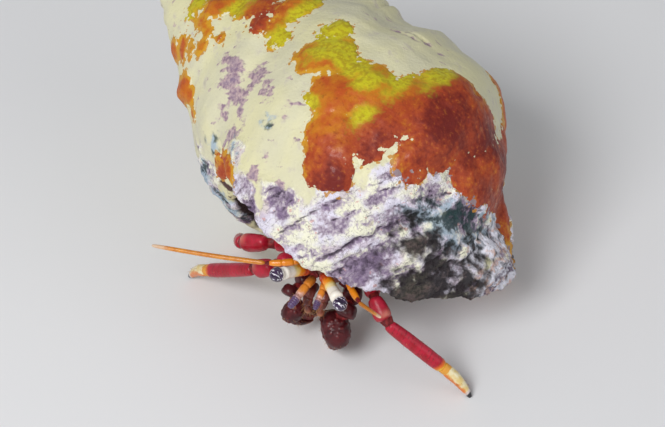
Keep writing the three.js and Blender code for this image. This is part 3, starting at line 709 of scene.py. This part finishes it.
skin = Finish("soft skin", Roughness=0.45, Subsurface_Weight=0.15, Subsurface_Scale=0.6 * MM)
skin.shader.inputs["Subsurface Radius"].default_value = (1.0, 0.4, 0.25)
veins = skin.grain(0.5, 4)
colour = skin.lay((0.20, 0.05, 0.04), (0.32, 0.12, 0.09), skin.grain(1.6, 3), 0.35, 0.65)
colour = skin.lay(colour, (0.18, 0.03, 0.03), veins, 0.55, 0.7)
# Painted shade in the creases of the skin.
colour = skin.lay(colour, (0.09, 0.015, 0.014), skin.mark("hollow"), 0.1, 1.0, 0.7)
skin.look(colour, skin.fade(veins, 0.3, 0.7, 0.38, 0.55), skin.bump(skin.grain(0.12, 3), 0.02))
skin.cover(soft_body)

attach(soft_body, "root")
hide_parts("thorax", "abdomen")


# ---- The shield ----
# The hard front plate of the back, a limy arch over the trunk with a groove across it and
# down its middle. It is mottled dark red and cream, and finely pitted.


def dress(name, node, grain, swollen, smoothing):
    """Rounds off a copy of a faceted solid, swells it by this many millimetres to make up for
    what that takes away, and gives it small even faces."""
    piece = copy_solids(name, node)
    work(piece, "SUBSURF", levels=2, render_levels=2)
    move_points(piece, np.full(len(piece.data.vertices), swollen * MM))
    rebuild(piece, grain, smoothing)
    return piece


shield_plate = dress("shield_plate", "shield", 0.1, 0.04, 4)
places = points_of(shield_plate)
middle = centre_of("shield")
between_eyes = (centre_of("eye_left") + centre_of("eye_right")) / 2
trunk_axis = np.array(Vector(centre_of("thorax") - between_eyes).normalized())
back = (places - middle) @ trunk_axis / MM
side = (places - middle) @ np.cross(trunk_axis, (0, 0, 1)) / MM
across_groove = hump(back + 0.12 * side ** 2, 0.9, 0.18)
long_groove = hump(side, 0, 0.16) * fade(back, 0.2, 1.0)
lumpy = 0.04 * lumps(places, 0.7 * MM, 3)
move_points(shield_plate, (-0.14 * across_groove - 0.1 * long_groove + lumpy) * MM)
mark(shield_plate, "hollow", np.maximum(across_groove, long_groove))

plate = Finish("shield plate", Roughness=0.35, Coat_Weight=0.3, Coat_Roughness=0.15)
mottle = plate.grain(0.9, 4)
colour = plate.lay((0.14, 0.018, 0.015), (0.30, 0.06, 0.035), mottle, 0.42, 0.58)
colour = plate.lay(colour, (0.72, 0.60, 0.44), plate.grain(0.6, 3), 0.62, 0.68)
# Painted shade in the grooves of the shield.
colour = plate.lay(colour, (0.09, 0.012, 0.012), plate.mark("hollow"), 0.2, 0.9)
plate.look(colour, plate.fade(mottle, 0.3, 0.7, 0.28, 0.42), plate.bump(plate.cells(0.22), 0.015))
plate.cover(shield_plate)

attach(shield_plate, "root")
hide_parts("shield")


# ---- The eyestalks and eyes ----
# Two stout, hard stalks stand out from under the shield, red at the root, then orange, yellow
# and white. Each is tipped with a domed, glossy dark eye of very many facets, with thin pale
# streaks painted on it as highlights.


def mark_length(piece, back, front):
    """Writes each point's share of the piece's length, from back towards front."""
    places = points_of(piece)
    direction = (front - back) / np.linalg.norm(front - back)
    way_along = places @ direction
    share = (way_along - way_along.min()) / (way_along.max() - way_along.min())
    mark(piece, "reach", share)
    return share


stalk = Finish("eyestalk", Roughness=0.28, Coat_Weight=0.4, Coat_Roughness=0.08)
cloud = stalk.grain(0.5, 3)
reach = stalk.ragged(stalk.mark("reach"), cloud, 0.22)
colour = stalk.lay((0.20, 0.008, 0.006), (0.62, 0.065, 0.008), reach, 0.0, 0.3)
colour = stalk.lay(colour, (0.90, 0.30, 0.012), reach, 0.26, 0.42)
colour = stalk.lay(colour, (0.92, 0.70, 0.22), reach, 0.42, 0.56)
colour = stalk.lay(colour, (0.92, 0.86, 0.76), reach, 0.54, 0.7)
stalk.look(colour, stalk.fade(cloud, 0.3, 0.7, 0.22, 0.36), stalk.bump(cloud, 0.02))

cornea = Finish("eye", Roughness=0.08, Coat_Weight=0.6, Coat_Roughness=0.02)
dark = cornea.lay((0.016, 0.006, 0.028), (0.045, 0.018, 0.065), cornea.grain(0.5, 3), 0.4, 0.6)
# Painted highlights: thin pale streaks on the dark of the eye, standing in for reflections.
dark = cornea.lay(dark, (0.72, 0.68, 0.76), cornea.grain(0.34, 1, (1.0, 2.8, 1.2)), 0.61, 0.64)
reach = cornea.ragged(cornea.mark("reach"), cornea.grain(0.35, 2), 0.12)
colour = cornea.lay((0.90, 0.85, 0.80), dark, reach, 0.30, 0.36)
cornea.look(colour, normal=cornea.bump(cornea.cells(0.07), 0.004))

for hand in ("left", "right"):
    tip = centre_of(f"eye_{hand}")
    eyestalk = dress(f"stalk_{hand}", f"eyestalk_{hand}", 0.06, 0.03, 3)
    share = mark_length(eyestalk, centre_of(f"eyestalk_{hand}"), tip)
    collar = 0.05 * fade(share, 0.80, 0.9) * (1 - fade(share, 0.93, 1.0))
    groove = -0.04 * hump(share, 0.22, 0.03)
    lumpy = 0.015 * lumps(points_of(eyestalk), 0.35 * MM, 3)
    move_points(eyestalk, (collar + groove + lumpy) * MM)
    stalk.cover(eyestalk)
    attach(eyestalk, "root")
    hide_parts(f"eyestalk_{hand}")

    eye = dress(f"cornea_{hand}", f"eye_{hand}", 0.05, 0.10, 4)
    mark_length(eye, centre_of(f"eyestalk_{hand}"), tip)
    cornea.cover(eye)
    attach(eye, "root")
    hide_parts(f"eye_{hand}")


# ---- The feelers ----
# Two short inner feelers, orange with a purple brush, hang between the eyes. The two long
# outer ones are orange whips of many short rings, each on a stout jointed base. All of them
# are of the same hard skin as the legs, but thinner.

whip = Finish("feeler whip", Roughness=0.35, Coat_Weight=0.2)
cloud = whip.grain(0.6, 3)
reach = whip.ragged(whip.mark("reach"), cloud, 0.15)
colour = whip.lay((0.60, 0.19, 0.012), (0.72, 0.28, 0.03), cloud, 0.35, 0.65)
colour = whip.lay(colour, (0.30, 0.07, 0.012), whip.mark("ring"), 0.2, 0.9, 0.14)
colour = whip.lay(colour, (0.70, 0.50, 0.34), reach, 0.80, 0.98)
whip.look(colour)

stem = Finish("feeler base", Roughness=0.32, Coat_Weight=0.3, Coat_Roughness=0.1)
cloud = stem.grain(0.5, 3)
reach = stem.ragged(stem.mark("reach"), cloud, 0.3)
colour = stem.lay((0.30, 0.03, 0.010), (0.86, 0.27, 0.012), reach, 0.0, 0.35)
stem.look(stem.lay(colour, (0.92, 0.40, 0.02), cloud, 0.6, 0.75))

brush = Finish("inner feeler", Roughness=0.4, Coat_Weight=0.2)
cloud = brush.grain(0.4, 3)
reach = brush.ragged(brush.mark("reach"), cloud, 0.2)
colour = brush.lay((0.22, 0.05, 0.012), (0.76, 0.27, 0.03), reach, 0.0, 0.3)
colour = brush.lay(colour, (0.72, 0.40, 0.30), reach, 0.52, 0.64)
colour = brush.lay(colour, (0.10, 0.055, 0.15), reach, 0.62, 0.8)
brush.look(colour)

# The rings of a whip are this far apart, and those of a brush are this share of the inner
# feeler's length apart.
WHIP_RING = 0.30 * MM
BRUSH_RING = 0.055
for hand in ("left", "right"):
    base, feeler = f"antenna_base_{hand}", f"antenna_{hand}"
    peduncle = dress(f"feeler_base_{hand}", base, 0.05, 0.03, 3)
    share = mark_length(peduncle, centre_of("thorax"), centre_of(feeler))
    grooves = hump(share, 0.3, 0.03) + hump(share, 0.62, 0.03)
    move_points(peduncle, -0.05 * MM * grooves)
    stem.cover(peduncle)
    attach(peduncle, "root")
    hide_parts(base)

    flagellum = dress(f"feeler_whip_{hand}", feeler, 0.045, 0.02, 3)
    share = mark_length(flagellum, centre_of(base), centre_of(feeler))
    low, high = (Vector(corner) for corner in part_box(feeler))
    rings = np.cos(2 * np.pi * share * (high - low).length / WHIP_RING)
    move_points(flagellum, 0.004 * MM * rings)
    mark(flagellum, "ring", -rings)
    whip.cover(flagellum)
    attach(flagellum, "root")
    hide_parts(feeler)

    inner = f"antennule_{hand}"
    antennule = dress(f"inner_feeler_{hand}", inner, 0.045, 0.03, 3)
    share = mark_length(antennule, centre_of("thorax"), centre_of(inner))
    grooves = hump(share, 0.35, 0.03) + hump(share, 0.66, 0.03)
    ringed_end = fade(share, 0.66, 0.72) * 0.03 * np.cos(2 * np.pi * share / BRUSH_RING)
    move_points(antennule, (ringed_end - 0.06 * grooves) * MM)
    brush.cover(antennule)
    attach(antennule, "root")
    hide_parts(inner)


# ---- The mouthparts ----
# The outer pair of mouthparts: hard, red-brown jointed limbs folded down over the mouth. Each
# is one piece, grooved where its segments meet.

mouth = Finish("mouthpart", Roughness=0.4, Coat_Weight=0.2)
cloud = mouth.grain(0.5, 3)
colour = mouth.lay((0.10, 0.012, 0.010), (0.20, 0.030, 0.018), cloud, 0.4, 0.6)
colour = mouth.lay(colour, (0.36, 0.14, 0.06), mouth.mark("reach"), 0.8, 1.0)
mouth.look(colour, normal=mouth.bump(cloud, 0.02))

for hand in ("left", "right"):
    node = f"maxilliped_{hand}"
    mouthpart = dress(f"mouthpart_{hand}", node, 0.06, 0.04, 3)
    share = mark_length(mouthpart, centre_of("thorax") + (0, 0, 4 * MM), centre_of(node))
    grooves = hump(share, 0.4, 0.04) + hump(share, 0.7, 0.04)
    move_points(mouthpart, -0.07 * MM * grooves)
    mouth.cover(mouthpart)
    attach(mouthpart, "root")
    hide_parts(node)


# ---- The legs ----
# Two pairs of walking legs of four limy segments each, hard and glossy, crimson with fine
# slanting rows of pits, painted a lighter crimson on their upper side as light. The last segment
# is white and yellow above and orange below, and ends in a curved black claw. The four small
# legs behind them are folded up in the shell.

leg_plate = Finish("leg plate", Specular_IOR_Level=0.3, Coat_Weight=0.2, Coat_Roughness=0.2)
cloud = leg_plate.grain(0.8, 4)
fine = leg_plate.grain(0.2, 3)
colour = leg_plate.lay((0.35, 0.005, 0.016), (0.49, 0.010, 0.034), cloud, 0.35, 0.65)
# Painted light: the upper side of each segment is a lighter crimson.
colour = leg_plate.lay(colour, (0.60, 0.035, 0.075), leg_plate.mark("upper"), 0.3, 1.0, 0.5)
wave = leg_plate.reckon("SINE", leg_plate.sum(leg_plate.mark("slant"), fine, 3.0))
dashes = leg_plate.fade(leg_plate.grain(0.35, 2, (1.6, 1.0, 1.0)), 0.48, 0.56)
rows = leg_plate.times(leg_plate.fade(wave, 0.45, 0.9), dashes)
colour = leg_plate.mix(leg_plate.times(rows, 0.5), colour, (0.12, 0.002, 0.008))
# Painted highlight: pale on the top of the second segment's knee.
colour = leg_plate.mix(leg_plate.mark("knee_highlight"), colour, (0.80, 0.36, 0.24))
banded = leg_plate.ragged(leg_plate.mark("band"), cloud, 0.10)
colour = leg_plate.lay(colour, (0.74, 0.15, 0.012), banded, 0.0, 0.05)
colour = leg_plate.lay(colour, (0.88, 0.56, 0.05), banded, 0.05, 0.10)
colour = leg_plate.lay(colour, (0.88, 0.78, 0.36), banded, 0.10, 0.14)
relief = leg_plate.bump(rows, 0.008, leg_plate.bump(fine, 0.008))
leg_plate.look(colour, leg_plate.fade(fine, 0.3, 0.7, 0.34, 0.46), relief)

leg_tip = Finish("leg tip", Roughness=0.3, Coat_Weight=0.3, Coat_Roughness=0.1)
cloud = leg_tip.grain(0.6, 4)
reach = leg_tip.ragged(leg_tip.mark("reach"), cloud, 0.10)
colour = leg_tip.lay((0.76, 0.56, 0.20), (0.82, 0.74, 0.48), cloud, 0.35, 0.65)
upper_side = leg_tip.ragged(leg_tip.mark("upper"), cloud, 0.9)
colour = leg_tip.lay(colour, (0.76, 0.19, 0.012), upper_side, 0.3, -0.1)
colour = leg_tip.lay(colour, (0.72, 0.60, 0.56), reach, 0.74, 0.82)
colour = leg_tip.lay(colour, (0.012, 0.008, 0.012), reach, 0.84, 0.88)
leg_tip.look(colour, leg_tip.fade(reach, 0.86, 0.9, 0.3, 0.2), leg_tip.bump(cloud, 0.02))

# Only the third segment has a yellow band, from this share of its length on, and only the
# second has a pale highlight painted on the top of its knee. The rows of pits are crests of a
# wave, which runs so many radians along a segment and so many from its side to its top.
BAND_START, NO_BAND = 0.88, 1.6
ALONG_WAVE, UPWARD_WAVE = 110, 5
limb_joints = []
legs = ("leg2_left", "leg2_right", "leg3_left", "leg3_right")
leg_parts = ("merus", "carpus", "propodus", "dactyl")
for leg in legs:
    chain = ["thorax"] + [f"{leg}_{part}" for part in leg_parts]
    limb_joints += zip(chain, chain[1:])
    for i, part in enumerate(leg_parts, start=1):
        node = chain[i]
        back = centre_of(chain[i - 1])
        front = 2 * centre_of(node) - back if part == "dactyl" else centre_of(chain[i + 1])
        segment = dress(f"{node}_plate", node, 0.075, 0.05, 4)
        share = mark_length(segment, back, front)
        upper = points_of(segment, "normal")[:, 2]
        knee_highlight = fade(share, 0.55, 0.95) * fade(upper, 0.0, 0.9)
        mark(segment, "upper", upper)
        mark(segment, "slant", share * ALONG_WAVE + upper * UPWARD_WAVE)
        mark(segment, "band", share - (BAND_START if part == "propodus" else NO_BAND))
        mark(segment, "knee_highlight", 0.7 * knee_highlight * (part == "carpus"))
        move_points(segment, 0.012 * MM * lumps(points_of(segment), 0.5 * MM, 3))
        if part == "dactyl":
            leg_tip.cover(segment)
        else:
            leg_plate.cover(segment)
        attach(segment, "root")
        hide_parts(node)

small_plate = Finish("small leg", Roughness=0.4, Coat_Weight=0.2)
cloud = small_plate.grain(0.6, 3)
colour = small_plate.lay((0.36, 0.03, 0.02), (0.55, 0.14, 0.05), cloud, 0.4, 0.6)
small_plate.look(colour, normal=small_plate.bump(cloud, 0.02))

small_legs = ("leg4_left", "leg4_right", "leg5_left", "leg5_right")
for leg in small_legs:
    segment = dress(f"{leg}_plate", leg, 0.07, 0.04, 3)
    share = mark_length(segment, centre_of("thorax"), centre_of(leg))
    grooves = hump(share, 0.35, 0.04) + hump(share, 0.68, 0.04)
    move_points(segment, -0.07 * MM * grooves)
    small_plate.cover(segment)
    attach(segment, "root")
    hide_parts(leg)


# ---- The claws ----
# Two claws of four hard, limy segments each, the left claw much the larger. They are dark
# maroon, painted darker still, nearly black, as shade, with rounded grains on the hand and
# orange-white finger tips that meet.

claw_plate = Finish("claw plate", Specular_IOR_Level=0.3, Coat_Weight=0.15, Coat_Roughness=0.2)
cloud = claw_plate.grain(0.9, 4)
# Dark maroon, darkened nearly to black as painted shade.
colour = claw_plate.lay((0.045, 0.004, 0.006), (0.085, 0.007, 0.010), cloud, 0.35, 0.65)
colour = claw_plate.lay(colour, (0.17, 0.018, 0.018), claw_plate.mark("grains"), 0.3, 1.0, 0.5)
tipped = claw_plate.ragged(claw_plate.mark("tip"), cloud, 0.2)
colour = claw_plate.lay(colour, (0.40, 0.08, 0.012), tipped, 0.0, 0.12)
colour = claw_plate.lay(colour, (0.74, 0.62, 0.46), tipped, 0.12, 0.3)
claw_plate.look(colour, claw_plate.fade(cloud, 0.3, 0.7, 0.36, 0.5), claw_plate.bump(cloud, 0.02))

# The height of the grains in millimetres on the inner two and the outer two segments, and
# the share of its length from which each of the outer two is pale. The finger lies beside the
# hand, so both are measured from the carpus.
LOW_GRAINS, HIGH_GRAINS = 0.03, 0.07
pale_from = {"hand": 0.84, "finger": 0.72}
NOWHERE_PALE = 2.0
claw_parts = ("merus", "carpus", "hand", "finger")
for hand in ("left", "right"):
    chain = ["thorax"] + [f"claw_{hand}_{part}" for part in claw_parts]
    limb_joints += zip(chain, chain[1:])
    for i, part in enumerate(claw_parts, start=1):
        node = chain[i]
        if part in pale_from:
            back, front, height = centre_of(chain[2]), centre_of(node), HIGH_GRAINS
        else:
            back, front, height = centre_of(chain[i - 1]), centre_of(chain[i + 1]), LOW_GRAINS
        segment = dress(f"{node}_plate", node, 0.08, 0.05, 4)
        share = mark_length(segment, back, front)
        places = points_of(segment)
        grains = fade(0.55 - pits(places, 0.42 * MM), 0.0, 0.45) * height * (1 - fade(share, 0.75, 0.9))
        move_points(segment, (grains + 0.02 * lumps(places, 0.5 * MM, 3)) * MM)
        mark(segment, "grains", grains / HIGH_GRAINS)
        mark(segment, "tip", share - pale_from.get(part, NOWHERE_PALE))
        claw_plate.cover(segment)
        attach(segment, "root")
        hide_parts(node)


# ---- The joint skins ----
# Thin, wrinkled skin closes each joint of the legs, claws and feelers, and lets the real one
# bend. It is dark red, but pale orange where a leg's yellow band meets its tip.

limb_joints += [("thorax", leg) for leg in small_legs]
limb_joints += [(f"antenna_base_{hand}", f"antenna_{hand}") for hand in ("left", "right")]

# How far a skin reaches over the ends of its two solids, in millimetres, and its girth, which
# is a little over theirs at the joint before a leg's tip, and under it at the others.
OVERLAP, BULGING, TUCKED_IN = 0.42, 1.02, 0.9
joint_skins = join([
    bridge(f"joint_{i}", one, other, OVERLAP, BULGING if other.endswith("dactyl") else TUCKED_IN)
    for i, (one, other) in enumerate(limb_joints)
])
joint_skins.name = "joint_skins"
rebuild(joint_skins, 0.08, 4)
places = points_of(joint_skins)
move_points(joint_skins, 0.03 * MM * lumps(places, 0.25 * MM, 3))

# The skin is pale close to the straight line between the middles of a leg's third segment and
# its tip.
pale = np.zeros(len(places))
for leg in legs:
    banded_end, tip = centre_of(f"{leg}_propodus"), centre_of(f"{leg}_dactyl")
    straight = np.linalg.norm(tip - banded_end)
    round_trip = np.linalg.norm(places - banded_end, axis=1) + np.linalg.norm(places - tip, axis=1)
    pale = np.maximum(pale, 1 - fade(round_trip - straight, 0.3 * MM, 0.5 * MM))
mark(joint_skins, "pale", pale)

hinge = Finish("joint skin", Roughness=0.5, Specular_IOR_Level=0.3)
cloud = hinge.grain(0.3, 3)
colour = hinge.lay((0.12, 0.007, 0.009), (0.24, 0.020, 0.020), cloud, 0.4, 0.6)
colour = hinge.mix(hinge.mark("pale"), colour, (0.74, 0.34, 0.05))
hinge.look(colour, normal=hinge.bump(cloud, 0.03))
hinge.cover(joint_skins)
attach(joint_skins, "root")


# ---- The bristles ----
# Short, stiff, horny bristles stand on the outer two segments of the walking legs, the claws,
# the mouthparts and the long feelers, and tuft the inner feelers. Each is a thin curved spike
# that is rooted just under the skin, and all of them are one piece.

# How wide a bristle is and how deep it is sunk, how far it leans forward, strays and curls,
# and how many rings shape it.
BRISTLE_WIDTH, SUNK = 0.03 * MM, 0.04 * MM
LEAN, STRAY, CURL = 0.6, 0.15, 0.4
RINGS = 3
rng = np.random.default_rng(5)


def unit(rows):
    """Each row as an arrow of length 1."""
    return rows / np.linalg.norm(rows, axis=1)[:, None]


def sow(piece_name, count, low, high, length):
    """Roots, ways to lean and to bend, lengths, and each root's place on the unrolled skin.
    The roots lie between these two shares of the piece's length."""
    piece = bpy.data.objects[piece_name]
    places, outwards = points_of(piece), points_of(piece, "normal")
    reach = np.empty(len(places))
    piece.data.attributes["reach"].data.foreach_get("value", reach)
    forward = places[reach > 0.7].mean(axis=0) - places[reach < 0.3].mean(axis=0)
    forward = forward / np.linalg.norm(forward)
    chosen = rng.choice(np.flatnonzero((reach > low) & (reach < high)), count)
    leaning = unit(outwards[chosen] + LEAN * forward + STRAY * rng.normal(size=(count, 3)))
    lengths = length * MM * rng.uniform(0.6, 1.2, count)
    roots = places[chosen] - SUNK * outwards[chosen]
    right = np.cross(forward, (0.0, 0.0, 1.0))
    above = np.cross(right, forward)
    from_middle = roots - places.mean(axis=0)
    round_it = np.arctan2(from_middle @ above, from_middle @ right) / (2 * np.pi) + 0.5
    unrolled = np.column_stack([round_it, reach[chosen]])
    return roots, leaning, np.tile(forward, (count, 1)), lengths, unrolled


beds = []
for leg in legs:
    beds.append(sow(f"{leg}_dactyl_plate", 34, 0.15, 0.85, 0.28))
    beds.append(sow(f"{leg}_propodus_plate", 22, 0.3, 1.0, 0.22))
for hand in ("left", "right"):
    beds.append(sow(f"claw_{hand}_hand_plate", 60, 0.3, 0.9, 0.3))
    beds.append(sow(f"claw_{hand}_finger_plate", 30, 0.1, 0.9, 0.3))
    beds.append(sow(f"mouthpart_{hand}", 50, 0.4, 1.0, 0.5))
    beds.append(sow(f"inner_feeler_{hand}", 40, 0.62, 0.98, 0.36))
    beds.append(sow(f"feeler_whip_{hand}", 36, 0.05, 0.95, 0.16))
roots, leaning, bend = (np.vstack([bed[k] for bed in beds]) for k in range(3))
lengths = np.concatenate([bed[3] for bed in beds])[:, None]
aside = unit(np.cross(leaning, bend + 0.01))
square = np.cross(leaning, aside)

# One spike has three square rings and a tip: 13 points and 13 faces.
rings = []
for ring in range(RINGS):
    share = ring / RINGS
    middle = roots + lengths * (share * leaning + CURL * share ** 2 * bend)
    half_width = 0.5 * BRISTLE_WIDTH * (1 - share)
    rings += [middle + half_width * way for way in (aside, square, -aside, -square)]
rings.append(roots + lengths * (leaning + CURL * bend))
points = np.stack(rings, axis=1).reshape(-1, 3)
spike_faces = [(3, 2, 1, 0)]
for low in range(0, 4 * (RINGS - 1), 4):
    for side in range(4):
        after = (side + 1) % 4
        spike_faces.append((low + side, low + after, low + after + 4, low + side + 4))
tip = 4 * RINGS
spike_faces += [(tip - 4 + side, tip - 4 + (side + 1) % 4, tip) for side in range(4)]
faces = [
    tuple((tip + 1) * spike + corner for corner in face)
    for spike in range(len(roots))
    for face in spike_faces
]
bristles = new_piece("bristles", points, faces)
bpy.ops.object.mode_set(mode="EDIT")
bpy.ops.mesh.select_all(action="SELECT")
bpy.ops.mesh.normals_make_consistent(inside=False)
bpy.ops.object.mode_set(mode="OBJECT")

# In the map each spike is a small square patch, where its root lies on the unrolled skin of
# its segment. The segments stand side by side.
PATCH = 0.003
unrolled = np.vstack([
    (bed[4] * (0.9, 0.96) + (place + 0.05, 0.02)) / (len(beds), 1)
    for place, bed in enumerate(beds)
])
ways = np.array([(1, 0), (0, 1), (-1, 0), (0, -1)])
patch = np.vstack([ways * (1 - ring / RINGS) for ring in range(RINGS)] + [(0, 0)]) * PATCH / 2
corners = np.empty(len(bristles.data.loops), dtype=np.int64)
bristles.data.loops.foreach_get("vertex_index", corners)
flat_places = (unrolled[:, None] + patch).reshape(-1, 2)[corners]
bristles.data.uv_layers.new(name="OFBake").data.foreach_set("uv", flat_places.ravel())

stiff = Finish("bristle", Roughness=0.4, Specular_IOR_Level=0.3)
cloud = stiff.grain(1.5, 2)
stiff.look(stiff.lay((0.34, 0.11, 0.04), (0.55, 0.30, 0.13), cloud, 0.35, 0.65))
stiff.cover(bristles)
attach(bristles, "root")


# ---- Floor, light and camera ----
# A plain pale floor, one soft lamp high in front, a weaker one on the crab's left, and pale
# air. The camera looks down from above and in front, through a long lens.

bpy.ops.object.select_all(action="DESELECT")
bpy.ops.mesh.primitive_plane_add(size=3000 * MM, location=(0, 0, 0))
floor = bpy.context.active_object
floor.name = "floor"
paper = Finish("pale floor", Roughness=0.9)
paper.look((0.80, 0.80, 0.81))
paper.cover(floor)

# The lamps and the camera point at a place that lies at these shares of the shell's box.
aim_shares = (0.5656, 0.411, 0.276)
look_at = Vector([
    low + share * (high - low) for low, share, high in zip(shell_low, aim_shares, shell_high)
])


def stand_at(azimuth, elevation, distance):
    """A place round the crab, in degrees and metres: azimuth 0 is straight in front."""
    azimuth, elevation = math.radians(azimuth), math.radians(elevation)
    return look_at + distance * Vector((
        math.sin(azimuth) * math.cos(elevation),
        -math.cos(azimuth) * math.cos(elevation),
        math.sin(elevation),
    ))


def aim(thing):
    """Turns a lamp or the camera towards the crab."""
    thing.rotation_euler = (look_at - thing.location).to_track_quat("-Z", "Y").to_euler()


def add_lamp(name, azimuth, elevation, distance, size, power):
    bpy.ops.object.light_add(type="AREA", location=stand_at(azimuth, elevation, distance))
    lamp = bpy.context.active_object
    lamp.name = name
    lamp.data.size = size
    lamp.data.energy = power
    aim(lamp)


add_lamp("key lamp", azimuth=-8, elevation=46, distance=0.34, size=0.14, power=0.82)
add_lamp("fill lamp", azimuth=80, elevation=30, distance=0.4, size=0.25, power=0.22)

world = bpy.data.worlds.new("pale air")
world.use_nodes = True
air = world.node_tree.nodes["Background"]
air.inputs["Color"].default_value = (0.85, 0.87, 0.9, 1)
air.inputs["Strength"].default_value = 0.35
bpy.context.scene.world = world

camera_data = bpy.data.cameras.new("camera")
camera = bpy.data.objects.new("camera", camera_data)
bpy.context.collection.objects.link(camera)
camera.location = stand_at(azimuth=24, elevation=45, distance=0.240)
camera_data.sensor_width = 36
camera_data.lens = 152.9
camera_data.clip_start = 0.01
aim(camera)
bpy.context.scene.camera = camera
bpy.context.scene.view_settings.view_transform = "Standard"
